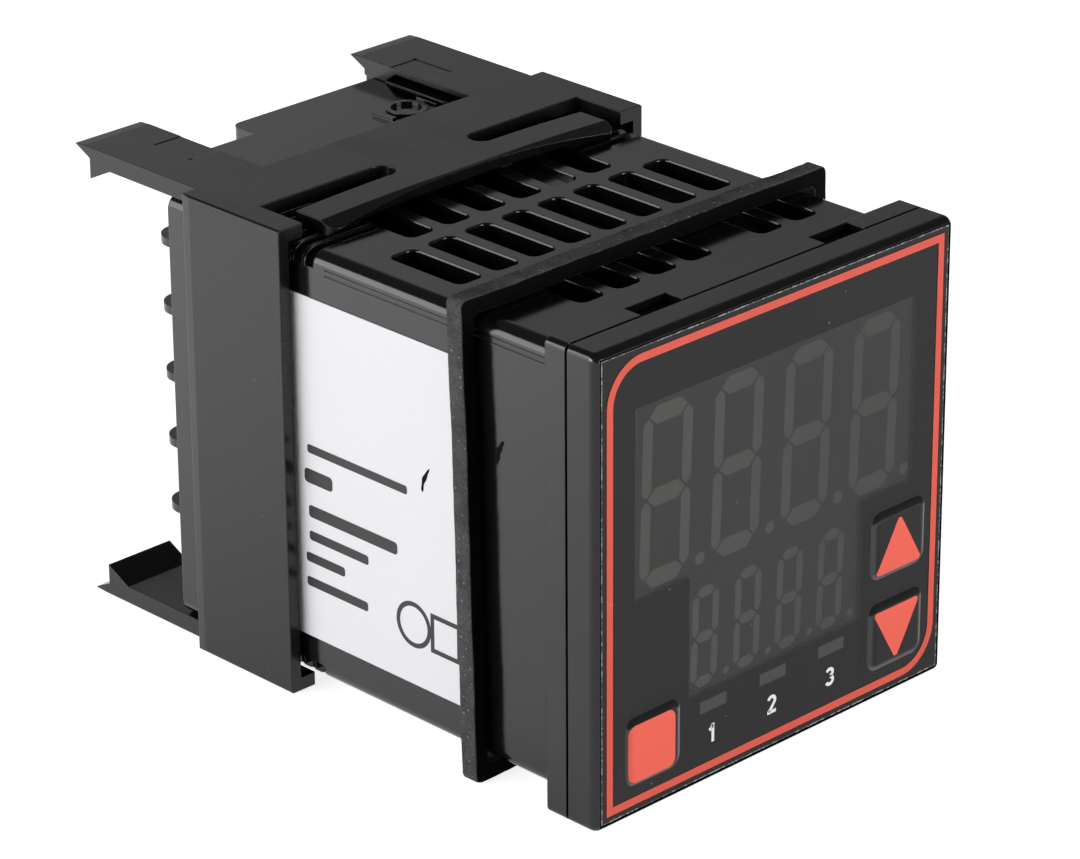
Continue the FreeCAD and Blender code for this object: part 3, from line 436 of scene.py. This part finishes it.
zinc = plated("zinc_plate", (0.62, 0.62, 0.60), 0.24)
brass = plated("contact_brass", (0.70, 0.53, 0.27), 0.28)
can_metal = plated("capacitor_can", (0.50, 0.51, 0.54), 0.3)
core_steel = plated("core_steel", (0.24, 0.24, 0.25), 0.45)
for node, material in (("terminal_screws", zinc), ("terminal_clamps", zinc),
                       ("terminal_contacts", brass), ("capacitors", can_metal),
                       ("transformer_core", core_steel)):
    dress(node, material)
print("metal parts dressed")

# %% Boards and components
# painted shade: the boards and relays are their own colours made much darker, for the shade inside the
# case
board_green_painted_shade = plastic("solder_mask_green_painted_shade", (0.004, 0.022, 0.012), 0.45, dust=0.0, rubs=0.0)
component_black = plastic("component_black", (0.02, 0.02, 0.02), 0.5, dust=0.0, rubs=0.0)
relay_blue_painted_shade = plastic("relay_blue_black_painted_shade", (0.008, 0.012, 0.020), 0.5, dust=0.0, rubs=0.0)
coil_tape = plastic("coil_tape", (0.55, 0.38, 0.08), 0.4, dust=0.0, rubs=0.0)
natural_plastic = plastic("natural_plastic", (0.72, 0.71, 0.66), 0.45, dust=0.0, rubs=0.0)
for node in ("display_board", "main_board", "power_board"):
    dress(node, board_green_painted_shade)
for node in ("main_header", "power_header", "microcontroller", "sensor_amplifier", "tact_switches"):
    dress(node, component_black)
for node in ("key_up_plunger", "key_down_plunger", "key_menu_plunger"):
    dress(node, natural_plastic)
dress("relays", relay_blue_painted_shade)
dress("transformer_coil", coil_tape)
print("hidden parts dressed")

# %% [markdown]
# ## Building meshes
# Small helpers make an object from lists of points and faces, and shade it smooth. All points are
# in millimetres, and become metres when the mesh is made.

# %% Mesh helpers
def make_piece(name, points, faces, material, smooth=True):
    """New mesh object from points in millimetres."""
    mesh = bpy.data.meshes.new(name)
    mesh.from_pydata([Vector(p) * MM for p in points], [], faces)
    mesh.validate()
    mesh.materials.append(material)
    for polygon in mesh.polygons:
        polygon.use_smooth = smooth
    piece = bpy.data.objects.new(name, mesh)
    bpy.context.scene.collection.objects.link(piece)
    return piece


def ride_controller(piece):
    """Fixes a piece to the controller's body."""
    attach(piece, "controller")
    return piece


print("piece helpers defined")

# %% Outlines
def rounded_outline(corners, radii, steps=8):
    """Closed outline whose corners are arcs; one radius for each corner."""
    outline = []
    count = len(corners)
    for k, corner in enumerate(corners):
        here = Vector(corner)
        back = (Vector(corners[k - 1]) - here).normalized()
        ahead = (Vector(corners[(k + 1) % count]) - here).normalized()
        half = back.angle(ahead) / 2
        centre = here + (back + ahead).normalized() * (radii[k] / math.sin(half))
        first = here + back * (radii[k] / math.tan(half)) - centre
        last = here + ahead * (radii[k] / math.tan(half)) - centre
        turn = first.angle(last) if radii[k] > 0 else 0.0
        for step in range(steps + 1):
            share = step / steps
            if turn:
                a = math.sin((1 - share) * turn) / math.sin(turn)
                b = math.sin(share * turn) / math.sin(turn)
                outline.append(tuple(centre + first * a + last * b))
            elif step == 0:
                outline.append(tuple(here))
    return outline


def filled_in(outline, step):
    """Closed outline with points added along every run longer than about a step."""
    dense = []
    for k, (x, z) in enumerate(outline):
        nx, nz = outline[(k + 1) % len(outline)]
        parts = max(1, int(math.hypot(nx - x, nz - z) / step))
        dense += [(x + (nx - x) * s / parts, z + (nz - z) * s / parts) for s in range(parts)]
    return dense


def rectangle(x0, x1, z0, z1):
    """Corners anticlockwise from the bottom left."""
    return [(x0, z0), (x1, z0), (x1, z1), (x0, z1)]


print("outline helpers defined")

# %% [markdown]
# ## Embossed keys
# A membrane key is a low pad pressed up in the film: steep at its rim and easing to a nearly flat
# top. One formula gives the film's height over the whole pad. The skin uses it, and so does the
# red symbol printed on it, so the print bends with the pad. The pad is trimmed a little inside the
# key below, and a flat hem covers the key's clearance.

# %% Height of an embossed pad, in millimetres
SKIRT = 1.15          # width of the sloping flank
STEEPNESS = 2.9       # how quickly the flank rises from its foot
SHOULDER = 1.3        # corner radius of the pad
CROWN = 0.04          # dome of the top
SHARE_OF_RISE = 0.92  # share of the key's own rise that the flank takes
TRIM_LEFT = {"key_up": 0.45, "key_down": 0.45, "key_menu": 0.95}
TRIM_RIGHT, TRIM_LOW = 0.15, 0.27     # the pad's rim, inside the key's own box
LIFT = 0.012          # how far a print or a skin stands before its ground
HEM = 0.35            # flat border of the skin, past the key on every side


def pad_places(key):
    """Middle and half sizes of a key's pad, and how far its top stands before the film."""
    x0, x1, z0 = low(key, "x") + TRIM_LEFT[key], high(key, "x") - TRIM_RIGHT, low(key, "z") + TRIM_LOW
    middle = ((x0 + x1) / 2, (z0 + high(key, "z")) / 2)
    halves = ((x1 - x0) / 2, (high(key, "z") - z0) / 2)
    return middle, halves, FILM_Y - low(key, "y")


def inset_from_rim(x, z, halves, corner):
    """Distance from a rounded rectangle's rim, positive inside."""
    qx, qz = abs(x) - halves[0] + corner, abs(z) - halves[1] + corner
    outside = math.hypot(max(qx, 0.0), max(qz, 0.0))
    return corner - outside - min(max(qx, qz), 0.0)


def pad_height(x, z, halves, rise):
    """Height of the embossed film over a point of the pad."""
    share = min(max(inset_from_rim(x, z, halves, SHOULDER) / SKIRT, 0.0), 1.0)
    eased = 1 - (1 - share) ** STEEPNESS
    crown = CROWN * (1 - (x / halves[0]) ** 2) * (1 - (z / halves[1]) ** 2)
    return rise * eased * SHARE_OF_RISE + max(crown, 0.0)


print("pads stand", round(pad_places("key_up")[2], 2), "mm before the film")

# %% [markdown]
# The pads' flanks carry painted light: the right and lower flanks get a painted highlight, the left
# one a little painted light, and the upper one painted shade with a duller finish. The material
# tells the flanks apart by the way each faces on the object, so the painted tones stay with the key
# from any angle.

# %% Film over the keys
FILM_TONES = ((0.0045, 0.0046, 0.0050), (0.0065, 0.0066, 0.0070))
# painted light: colours of the flanks' painted highlight, the left flank's faint painted light and the
# upper flank's painted shade
PAINTED_FLANK_HIGHLIGHT = (0.20, 0.215, 0.205)
PAINTED_LEFT_FLANK_LIGHT = (0.065, 0.065, 0.066)
PAINTED_UPPER_FLANK_SHADE = (0.0012, 0.0012, 0.0012)


def key_film():
    """Front film with painted highlights on its right and lower flanks and painted shade on its top one.
    """
    material, tree, shader = new_material("key_film")
    shader.inputs["Specular IOR Level"].default_value = FILM_SPECULAR
    grain_node = place_group(tree, grain_group, grain_scale=FILM_GRAIN, wave_share=0.5)
    facing = facing_axes(tree)
    # painted light masks, by the way each flank faces: painted highlight on the right and lower flanks,
    # faint painted light on the left one, painted shade on the upper one
    right = ramp(tree, facing["X"], 0.12, 0.55)
    left = ramp(tree, maths(tree, "MULTIPLY", facing["X"], -1.0), 0.2, 0.6)
    lower = ramp(tree, maths(tree, "MULTIPLY", facing["Z"], -1.0), 0.12, 0.6)
    upper_painted_shade = ramp(tree, facing["Z"], 0.06, 0.30)
    flank_painted_highlight = maths(tree, "MAXIMUM", right, maths(tree, "MULTIPLY", lower, 0.6))
    tone = blend_colour(tree, grain_node.outputs["Tone"], *FILM_TONES)
    for mask, colour in ((left, PAINTED_LEFT_FLANK_LIGHT), (flank_painted_highlight, PAINTED_FLANK_HIGHLIGHT), (upper_painted_shade, PAINTED_UPPER_FLANK_SHADE)):
        tone = blend_colour(tree, mask, tone, colour)
    tree.links.new(tone, shader.inputs["Base Color"])
    rough = maths(tree, "ADD", FILM_ROUGH, maths(tree, "MULTIPLY", upper_painted_shade, 0.6), clamp=True)
    tree.links.new(rough, shader.inputs["Roughness"])
    bump_from(tree, shader, grain_node.outputs["Height"], 0.0022)
    return material


key_black = key_film()
print("material:", key_black.name)

# %% [markdown]
# A skin is a patch of shrinking rings round the pad's middle: close together over the flank, where
# the height changes quickly, and wide apart on the flat top. The symbol is a patch of the same
# kind, cut to its own outline, a hair before the skin.

# %% Patches of rings over a key
SKIN_RINGS = [1.0 - 0.014 * k for k in range(46)] + [0.25, 0.12]
PRINT_RINGS = [1.0 - k / 14 for k in range(14)]
PRINT_STEP = 0.35


def rings_to_piece(name, outline, centre, depths, height, material):
    """Filled patch of shrinking rings about a centre, each point raised before the film."""
    count = len(outline)
    points = []
    for depth in depths:
        for x, z in outline:
            px, pz = centre[0] + (x - centre[0]) * depth, centre[1] + (z - centre[1]) * depth
            points.append((px, height(px, pz), pz))
    points.append((centre[0], height(*centre), centre[1]))
    faces = []
    for ring in range(len(depths) - 1):
        for k in range(count):
            a, b = ring * count + k, ring * count + (k + 1) % count
            faces.append((a, b, b + count, a + count))
    last = (len(depths) - 1) * count
    faces += [(last + k, last + (k + 1) % count, len(points) - 1) for k in range(count)]
    return make_piece(name, points, faces, material)


def ride_with_key(piece, node):
    """Stands for a node, which it hides; the piece keeps its place in the world."""
    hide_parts(node)
    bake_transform(piece)
    return piece


print("rings of a skin:", len(SKIN_RINGS))

# %% Skin and symbol of one key
def key_skin(key):
    """Embossed film over one key, with a flat hem that lies on the front film."""
    (mx, mz), halves, rise = pad_places(key)
    outer = rectangle(low(key, "x") - HEM, high(key, "x") + HEM, low(key, "z") - HEM, high(key, "z") + HEM)
    outline = rounded_outline(outer, [SHOULDER + HEM] * 4, 10)

    def surface(x, z):
        return FILM_Y - LIFT - pad_height(x - mx, z - mz, halves, rise)

    piece = rings_to_piece(key + "_skin", outline, (mx, mz), SKIN_RINGS, surface, key_black)
    return ride_with_key(piece, key)


def key_print(key, corners, radius):
    """Red symbol that follows the pad's surface."""
    (mx, mz), halves, rise = pad_places(key)
    outline = filled_in(rounded_outline(corners, [radius] * len(corners), 8), PRINT_STEP)
    centre = (sum(x for x, _ in corners) / len(corners), sum(z for _, z in corners) / len(corners))

    def surface(x, z):
        return FILM_Y - 2 * LIFT - pad_height(x - mx, z - mz, halves, rise)

    piece = rings_to_piece(key + "_print", outline, centre, PRINT_RINGS, surface, red_print)
    return ride_with_key(piece, key + "_symbol")


def symbol_box(key):
    """Left, right, bottom and top of a key's printed symbol."""
    return tuple(f(key + "_symbol", axis) for axis in "xz" for f in (low, high))


print("menu symbol:", [round(v, 2) for v in symbol_box("key_menu")])

# %% Three keys
SQUARE_CORNER, TRIANGLE_CORNER = 0.9, 0.35
TIP_REACH, BASE_REACH = 0.35, 0.2     # a rounded corner falls short of its own point

for key in ("key_up", "key_down", "key_menu"):
    key_skin(key)
    x0, x1, z0, z1 = symbol_box(key)
    tip, base = (z1 + TIP_REACH, z0) if key == "key_up" else (z0 - TIP_REACH, z1)
    if key == "key_menu":
        key_print(key, rectangle(x0, x1, z0, z1), SQUARE_CORNER)
    else:
        key_print(key, [(x0 - BASE_REACH, base), (x1 + BASE_REACH, base), ((x0 + x1) / 2, tip)],
                  TRIANGLE_CORNER)
    print(key, "skin and symbol made")

# %% [markdown]
# ## Cut edge of the film
# The film is die-cut, and a painted highlight along its edge shows as a thin pale line, broken by
# dark gaps, where it meets the bezel. A narrow flat frame along the film's border carries it.

# %% Painted highlight round the film
def painted_edge_highlight():
    """Painted highlight along the film's cut edge, broken by dark gaps."""
    material, tree, shader = new_material("film_edge_painted_highlight")
    shader.inputs["Roughness"].default_value = 0.45
    # painted highlight: pale where the noise is high, dark in the gaps between
    edge_highlight_mask = ramp(tree, noise_at(tree, object_coordinates(tree), 2400.0, 3.0, 0.6), 0.44, 0.6)
    tree.links.new(blend_colour(tree, edge_highlight_mask, (0.025, 0.025, 0.026), (0.30, 0.30, 0.29)),
                   shader.inputs["Base Color"])
    return material


def film_edge(width):
    """Thin line round the film, just inside its border."""
    half = high("front_overlay", "x")
    inner = half - width
    outline = rectangle(-half, half, -half, half) + rectangle(-inner, inner, -inner, inner)
    points = [(x, FILM_Y - LIFT / 2, z) for x, z in outline]
    faces = [(k, (k + 1) % 4, 4 + (k + 1) % 4, 4 + k) for k in range(4)]
    return ride_controller(make_piece("film_edge", points, faces, painted_edge_highlight(), smooth=False))


EDGE_LINE = 0.13
film_edge(EDGE_LINE)
print("cut edge", EDGE_LINE, "mm wide")

# %% [markdown]
# ## Printed figures
# Each small indicator window has a white figure under it. A figure is a bold stroke of even width
# along a path of straight runs and arcs, drawn on a grid whose cap height is 1.

# %% Strokes for figures 1 to 3
FIGURE_HEIGHT = 1.95      # cap height in millimetres
FIGURE_TOP = -18.0
STROKE = 0.19             # as a share of the cap height


def arc(cx, cz, rx, rz, start, end, steps=14):
    """Points of an elliptical arc between two angles in degrees."""
    turns = [math.radians(start + (end - start) * k / steps) for k in range(steps + 1)]
    return [(cx + rx * math.cos(t), cz + rz * math.sin(t)) for t in turns]


def ribbon(path):
    """Outline points on both sides of a path, STROKE wide."""
    left, right = [], []
    for k, (x, z) in enumerate(path):
        ax, az = path[max(k - 1, 0)]
        bx, bz = path[min(k + 1, len(path) - 1)]
        length = math.hypot(bx - ax, bz - az)
        nx, nz = -(bz - az) / length * STROKE / 2, (bx - ax) / length * STROKE / 2
        left.append((x + nx, z + nz))
        right.append((x - nx, z - nz))
    return left, right


EDGE = STROKE / 2
FIGURES = {
    "1": [[(0.04, 1.0), (0.04, 0.0)], [(-0.22, 0.70), (-0.08, 0.76), (0.02, 0.94)]],
    "2": [arc(0.0, 0.70, 0.235, 0.21, 165, -25) + [(-0.02, 0.30), (-0.20, 0.12)],
          [(-0.30, EDGE), (0.31, EDGE)]],
    "3": [arc(0.0, 0.725, 0.215, 0.185, 160, -85), arc(0.0, 0.29, 0.24, 0.20, 85, -160)],
}


def figure(text, x):
    """White figure whose middle is at x, printed on the film."""
    points, faces = [], []
    for path in FIGURES[text]:
        left, right = ribbon(path)
        start = len(points)
        for side in (left, right):
            points += [(x + px * FIGURE_HEIGHT, FILM_Y - LIFT, FIGURE_TOP - (1 - pz) * FIGURE_HEIGHT)
                       for px, pz in side]
        count = len(left)
        faces += [(start + k, start + k + 1, start + count + k + 1, start + count + k)
                  for k in range(count - 1)]
    piece = make_piece("figure_" + text, points, faces, white_print, smooth=False)
    return ride_controller(piece)


print("figures:", ", ".join(FIGURES))

# %% One figure under each window
WINDOW_WIDTH = 3.6
FIGURE_SHIFT = -0.1
window_left, window_right = low("indicator_windows", "x"), high("indicator_windows", "x")
window_mid = (window_left + window_right) / 2
window_step = (window_right - window_left - WINDOW_WIDTH) / 2
for k in range(3):
    piece = figure(str(k + 1), window_mid + (k - 1) * window_step + FIGURE_SHIFT)
    print(piece.name, len(piece.data.vertices), "points")

# %% [markdown]
# ## Foam gasket
# The gasket is die-cut from foam rubber sheet. It sits a little askew on the case, its cut edges
# are not quite straight, and its open cells show as tiny pits with pale specks of dust. A section
# with softened corners is swept round a rounded square, and slow noise bends it by a tenth of a
# millimetre.

# %% Foam material
def make_foam():
    """Foam rubber: smooth black skin on its flat faces, open speckled cells on its cut edges."""
    material, tree, shader = new_material("gasket_foam")
    place = object_coordinates(tree)
    skin = ramp(tree, maths(tree, "ABSOLUTE", facing_axes(tree)["Y"]), 0.55, 0.85)
    cells = tree.nodes.new("ShaderNodeTexVoronoi")
    cells.inputs["Scale"].default_value = 6500.0
    tree.links.new(place, cells.inputs["Vector"])
    pits = ramp(tree, cells.outputs["Distance"], 0.15, 0.6)
    mottle = noise_at(tree, place, 4200.0, 4.0, 0.75)
    patches = ramp(tree, noise_at(tree, place, 260.0, 5.0, 0.75), 0.35, 0.7)
    tone = blend_colour(tree, mottle, (0.008, 0.008, 0.008), (0.20, 0.20, 0.198))
    tone = blend_colour(tree, maths(tree, "MULTIPLY", patches, 0.5), tone, (0.02, 0.02, 0.02))
    dust_node = place_group(tree, dust_group, share=0.4, scale=1700.0, size=0.26)
    tone = blend_colour(tree, dust_node.outputs["Mask"], tone, (0.36, 0.36, 0.36))
    tone = blend_colour(tree, skin, tone, (0.0035, 0.0035, 0.0035))
    tree.links.new(tone, shader.inputs["Base Color"])
    shader.inputs["Roughness"].default_value = 0.9
    shader.inputs["Specular IOR Level"].default_value = 0.06
    bump_from(tree, shader, maths(tree, "ADD", pits, mottle), 0.06)
    return material


foam = make_foam()
print("material:", foam.name)

# %% Section of the foam, in millimetres
FOAM_INSET = 0.03       # kept just inside the CAD gasket
FOAM_THICK = 2.15
FOAM_LEAN = math.radians(1.46)
FOAM_CORNER = 0.7       # corner of the frame
FOAM_SOFT = 0.28        # radius of the section's own corners
FOAM_STEP = 0.6
CASE_INSET = 1.5        # the case behind the flange, inside the housing's widest place
CASE_SLACK = 0.3


def foam_section(width):
    """Points of the section: distance out from the case, and place along the depth."""
    section = []
    corners = ((0.0, -1, 1.5), (0.0, 1, 1.0), (1.0, 1, 0.5), (1.0, -1, 0.0))
    for outer, side, half_turns in corners:
        cx = width - FOAM_SOFT if outer else FOAM_SOFT
        cy = side * (FOAM_THICK / 2 - FOAM_SOFT)
        for step in range(4):
            turn = math.pi * half_turns - step / 3 * math.pi / 2
            section.append((cx + FOAM_SOFT * math.cos(turn), cy + FOAM_SOFT * math.sin(turn)))
    return section


print("foam", FOAM_THICK, "mm thick, leaning", round(math.degrees(FOAM_LEAN), 2), "degrees")

# %% [markdown]
# The noise is read at the points' own places, so the frame closes on itself without a seam. One
# slow wave bends the whole ring, one quick small one roughens its edges, and the top of the frame
# bows out a little on its rear side.

# %% Foam frame
SLOW_WAVE, SLOW_SIZE = 0.11, 0.22      # waves per millimetre, and millimetres of bend
QUICK_WAVE, QUICK_SIZE = 1.7, 0.07
BOW = 0.15


def foam_gasket():
    """Sweep of a soft-cornered section round the case."""
    node = "panel_gasket"
    half = (high(node, "x") - low(node, "x")) / 2 - FOAM_INSET
    inner = high("housing", "x") - CASE_INSET + CASE_SLACK
    width = half - inner
    mid_y = (low(node, "y") + high(node, "y")) / 2
    path = filled_in(rounded_outline(rectangle(-half, half, -half, half), [FOAM_CORNER] * 4, 10),
                     FOAM_STEP)
    section = foam_section(width)
    points = []
    for x, z in path:
        reach = max(abs(x), abs(z))
        for outward, along in section:
            scale = (reach - (width - outward)) / reach
            px, pz = x * scale, z * scale
            wave = noise.noise(Vector((px * SLOW_WAVE, pz * SLOW_WAVE, 3.0))) * SLOW_SIZE
            grit = noise.noise(Vector((px * QUICK_WAVE, along * QUICK_WAVE, pz * QUICK_WAVE)))
            rough = grit * QUICK_SIZE
            bow = BOW * (1 - (px / half) ** 2) if pz > inner - 1 else 0.0
            y = along + wave + rough + bow * (along > 0)
            points.append((px + rough * 0.5, mid_y + y + pz * math.tan(FOAM_LEAN), pz + rough * 0.5))
    count, faces = len(section), []
    for ring in range(len(path)):
        here, ahead = ring * count, (ring + 1) % len(path) * count
        for k in range(count):
            turn = (k + 1) % count
            faces.append((here + k, here + turn, ahead + turn, ahead + k))
    piece = make_piece("foam_gasket", points, faces, foam)
    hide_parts(node)
    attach(piece, "controller")
    return piece


gasket = foam_gasket()
print("gasket faces:", len(gasket.data.polygons))

# %% [markdown]
# ## Side label
# A white paper label on the left side runs under the gasket and the bracket. Its print is kept to
# plain bars, a ring and a square. They are thin flat pieces a hair in front of the paper, which
# keeps their edges sharp at any distance.

# %% Label paper and its print
label_paper = plastic("label_paper", (0.83, 0.83, 0.86), 0.42, grain=0.0015, vary=0.015, rubs=0.03,
                      dust=0.01, dust_colour=(0.5, 0.5, 0.5))
label_ink = plastic("label_ink", (0.020, 0.020, 0.021), 0.5, grain=0.001, dust=0.0)
dress("side_label", label_paper)


def side_patch(name, outline, lift, material):
    """Flat patch on the left side from an outline of (y, z) points."""
    x = CASE_SIDE - lift
    points = [(x, y, z) for y, z in outline]
    piece = make_piece(name, points, [tuple(range(len(points)))], material, smooth=False)
    return ride_controller(piece)


def label_bar(name, y0, y1, z, height):
    """Round-ended bar of print."""
    corners = rectangle(y0, y1, z - height / 2, z + height / 2)
    return side_patch(name, rounded_outline(corners, [height * 0.3] * 4, 4), LIFT, label_ink)


def label_frame(name, y, z, outer, inner):
    """Hollow shape of print between two outlines of equal length."""
    points = [(CASE_SIDE - LIFT, y + py, z + pz) for py, pz in outer + inner]
    count = len(outer)
    faces = [(k, (k + 1) % count, count + (k + 1) % count, count + k) for k in range(count)]
    piece = make_piece(name, points, faces, label_ink, smooth=False)
    return ride_controller(piece)


print("materials:", label_paper.name, label_ink.name)

# %% Bars, a ring and a square
# Each bar: its front and rear end, its height on the label, and how tall it is.
BARS = ((20.0, 34.0, 2.0, 0.9), (30.5, 34.5, -0.9, 1.5), (21.5, 34.0, -4.6, 1.3),
        (25.6, 34.0, -7.2, 1.0), (29.0, 34.5, -9.6, 1.0), (25.8, 34.5, -12.2, 1.0))
RING_R, RING_W = 2.4, 0.5
SQUARE_HALF = RING_R * 0.86
MARKS_Z, RING_Y, SQUARE_Y = -11.8, 19.4, 15.0

for k, (y0, y1, z, height) in enumerate(BARS):
    label_bar(f"label_bar_{k + 1}", y0, y1, z, height)
circle = [arc(0, 0, r, r, 0, 360, 48)[:-1] for r in (RING_R, RING_R - RING_W)]
label_frame("label_ring", RING_Y, MARKS_Z, *circle)
square = [rectangle(-r, r, -r, r) for r in (SQUARE_HALF, SQUARE_HALF - RING_W)]
label_frame("label_square", SQUARE_Y, MARKS_Z, *square)
print("label bars:", len(BARS))

# %% [markdown]
# ## Smears of ink
# Two small black smears were left on the side when the instrument was handled, one on the label
# and one on the case ahead of the gasket. Each is a ragged patch from a few points and noise.

# %% Two smears
SMEAR_STEPS = 8
LABEL_THICKNESS = 0.1
ink_smear = plastic("ink_smear", (0.006, 0.006, 0.006), 0.7, specular=0.05, dust=0.0, rubs=0.0)


def smear(name, y, z, length, width, lean, lift, seed):
    """Ragged stroke of ink that leans off the vertical."""
    rng = random.Random(seed)
    left, right = [], []
    for k in range(SMEAR_STEPS + 1):
        share = k / SMEAR_STEPS
        bend = math.sin(share * 2.6) * 0.35
        half = width / 2 * (0.35 + math.sin(math.pi * share)) * rng.uniform(0.6, 1.2)
        cy = y + (share - 0.5) * length * math.sin(lean) + bend
        cz = z + (0.5 - share) * length * math.cos(lean)
        left.append((cy - half, cz))
        right.append((cy + half, cz))
    return side_patch(name, left + right[::-1], lift, ink_smear)


smear("smear_on_label", 17.3, 3.9, 2.8, 0.45, 0.3, LIFT, 3)
smear("smear_on_case", 7.3, 9.9, 2.6, 0.6, 0.25, LIFT - LABEL_THICKNESS, 8)
print("smears made")

# %% [markdown]
# ## Floor, light and camera
# The instrument stands on a pale floor that shows white to the camera through its own faint glow,
# and keeps the soft shadow. Glossy black shows mostly what it mirrors, so the floor has a second
# glow that only mirrors see. It grows from the front to the rear, and shades the sides from dark
# below to paler above.

# %% Floor
FLOOR_GLOW = 0.84
MIRROR_DIM, MIRROR_GLOW = 0.33, 1.2
MIRROR_FRONT, MIRROR_REAR = -0.03, 0.14     # where the mirrored glow starts and ends, in metres
FLOOR_HALF, FLOOR_DROP = 3.0, 0.00001


def make_floor():
    """Large pale plane under the instrument."""
    material, tree, shader = new_material("studio_floor")
    shader.inputs["Roughness"].default_value = 0.8
    shader.inputs["Specular IOR Level"].default_value = 0.0
    place = object_coordinates(tree)
    mottle = noise_at(tree, place, 8.0, 2.0, 0.5)
    tree.links.new(blend_colour(tree, mottle, (0.90, 0.90, 0.90), (0.92, 0.92, 0.92)),
                   shader.inputs["Base Color"])
    rays = tree.nodes.new("ShaderNodeLightPath")
    direct = maths(tree, "MAXIMUM", rays.outputs["Is Camera Ray"], rays.outputs["Is Transmission Ray"])
    depth = ramp(tree, axes_of(tree, place)["Y"], MIRROR_FRONT, MIRROR_REAR)
    seen = maths(tree, "ADD", MIRROR_DIM, maths(tree, "MULTIPLY", depth, MIRROR_GLOW - MIRROR_DIM))
    mirrored = maths(tree, "MULTIPLY", rays.outputs["Is Glossy Ray"], seen)
    shader.inputs["Emission Color"].default_value = (1.0, 1.0, 1.0, 1.0)
    glow = maths(tree, "ADD", maths(tree, "MULTIPLY", direct, FLOOR_GLOW), mirrored)
    tree.links.new(glow, shader.inputs["Emission Strength"])
    sides = rectangle(-FLOOR_HALF, FLOOR_HALF, -FLOOR_HALF, FLOOR_HALF)
    corners = [(x, y, FLOOR_Z - FLOOR_DROP) for x, y in sides]
    mesh = bpy.data.meshes.new("studio_floor")
    mesh.from_pydata(corners, [], [(0, 1, 2, 3)])
    mesh.materials.append(material)
    floor = bpy.data.objects.new("studio_floor", mesh)
    bpy.context.scene.collection.objects.link(floor)
    return floor


print("floor:", make_floor().name)

# %% [markdown]
# Three soft lamps stand round the instrument. The left one lights the label side and the right one
# lights the front. A weak one at the rear left gives the slots and the rounded edges their bright
# glints.

# %% Lamps
AIM = Vector((0.0, 0.028, 0.0))
LAMP_DISTANCE = 0.8


def softbox(name, direction, size, power):
    """Rectangular area lamp that faces the middle of the instrument."""
    lamp = bpy.data.lights.new(name, "AREA")
    lamp.shape = "RECTANGLE"
    lamp.size, lamp.size_y = size
    lamp.energy = power
    holder = bpy.data.objects.new(name, lamp)
    away = Vector(direction).normalized()
    holder.location = AIM + away * LAMP_DISTANCE
    holder.rotation_euler = away.to_track_quat("Z", "Y").to_euler()
    bpy.context.scene.collection.objects.link(holder)
    return holder


for name, direction, size, power in (
        ("left_softbox", (-0.94, 0.26, 0.16), (0.5, 0.4), 4.8),
        ("right_softbox", (0.28, -0.94, 0.16), (0.5, 0.4), 6.3),
        ("rear_softbox", (-0.69, 0.68, 0.28), (0.28, 0.40), 1.25)):
    print(softbox(name, direction, size, power).name, power, "W")

# %% [markdown]
# The roof and the bracket's top face up, and mirror what stands behind the instrument. That is a
# low grey card, brighter on its left, in a dim room. Both are in the world's own colour, worked
# out from the direction of each ray.

# %% World: a grey card behind the instrument, and a darker room elsewhere
CAMERA_TURN = math.radians(44.312)
CARD_GLOW = 0.40
ROOM_GLOW = 0.08


def make_world():
    """Grey card low behind the instrument, brighter to the left, in a dim room."""
    world = bpy.data.worlds.new("studio_world")
    world.use_nodes = True
    tree = world.node_tree
    background = tree.nodes["Background"]
    ray = axes_of(tree, tree.nodes.new("ShaderNodeTexCoord").outputs["Generated"])
    x, y, z = (ray[axis] for axis in "XYZ")
    sine, cosine = math.sin(CAMERA_TURN), math.cos(CAMERA_TURN)
    behind = maths(tree, "ADD", maths(tree, "MULTIPLY", x, sine), maths(tree, "MULTIPLY", y, cosine))
    aside = maths(tree, "SUBTRACT", maths(tree, "MULTIPLY", x, cosine), maths(tree, "MULTIPLY", y, sine))
    card = maths(tree, "MULTIPLY", ramp(tree, behind, 0.25, 0.6), ramp(tree, z, 0.64, 0.47))
    shade = maths(tree, "SUBTRACT", 1.0, maths(tree, "MULTIPLY", ramp(tree, aside, -0.18, 0.22), 0.75))
    glow = maths(tree, "MULTIPLY", maths(tree, "MULTIPLY", card, shade), CARD_GLOW)
    background.inputs["Color"].default_value = (1.0, 1.0, 1.0, 1.0)
    tree.links.new(maths(tree, "ADD", glow, ROOM_GLOW), background.inputs["Strength"])
    bpy.context.scene.world = world


make_world()
bpy.context.scene.view_settings.view_transform = "Standard"
print("card glow", CARD_GLOW, "room glow", ROOM_GLOW)

# %% [markdown]
# A long lens from the front left keeps the lines of the case nearly parallel. The camera looks
# down by 24 degrees, and its turn is the one that the card above is set square to.

# %% Camera
CAMERA_PLACE = Vector((-297.86, -279.85, 189.54)) * MM
CAMERA_DIP = math.radians(24.023)
CAMERA_ROLL = math.radians(-0.351)
LENS, SENSOR_WIDTH = 159.17, 36.0


def make_camera():
    """Long lens from the front left, looking a little down."""
    forward = Vector((math.sin(CAMERA_TURN) * math.cos(CAMERA_DIP),
                      math.cos(CAMERA_TURN) * math.cos(CAMERA_DIP), -math.sin(CAMERA_DIP)))
    data = bpy.data.cameras.new("camera")
    data.sensor_width = SENSOR_WIDTH
    data.lens = LENS
    data.clip_start, data.clip_end = 0.01, 20.0
    camera = bpy.data.objects.new("camera", data)
    level = forward.to_track_quat("-Z", "Y")
    camera.rotation_mode = "QUATERNION"
    camera.rotation_quaternion = level @ Matrix.Rotation(CAMERA_ROLL, 3, "Z").to_quaternion()
    camera.location = CAMERA_PLACE
    bpy.context.scene.collection.objects.link(camera)
    bpy.context.scene.camera = camera
    return camera


camera = make_camera()
print("lens", camera.data.lens, "mm")
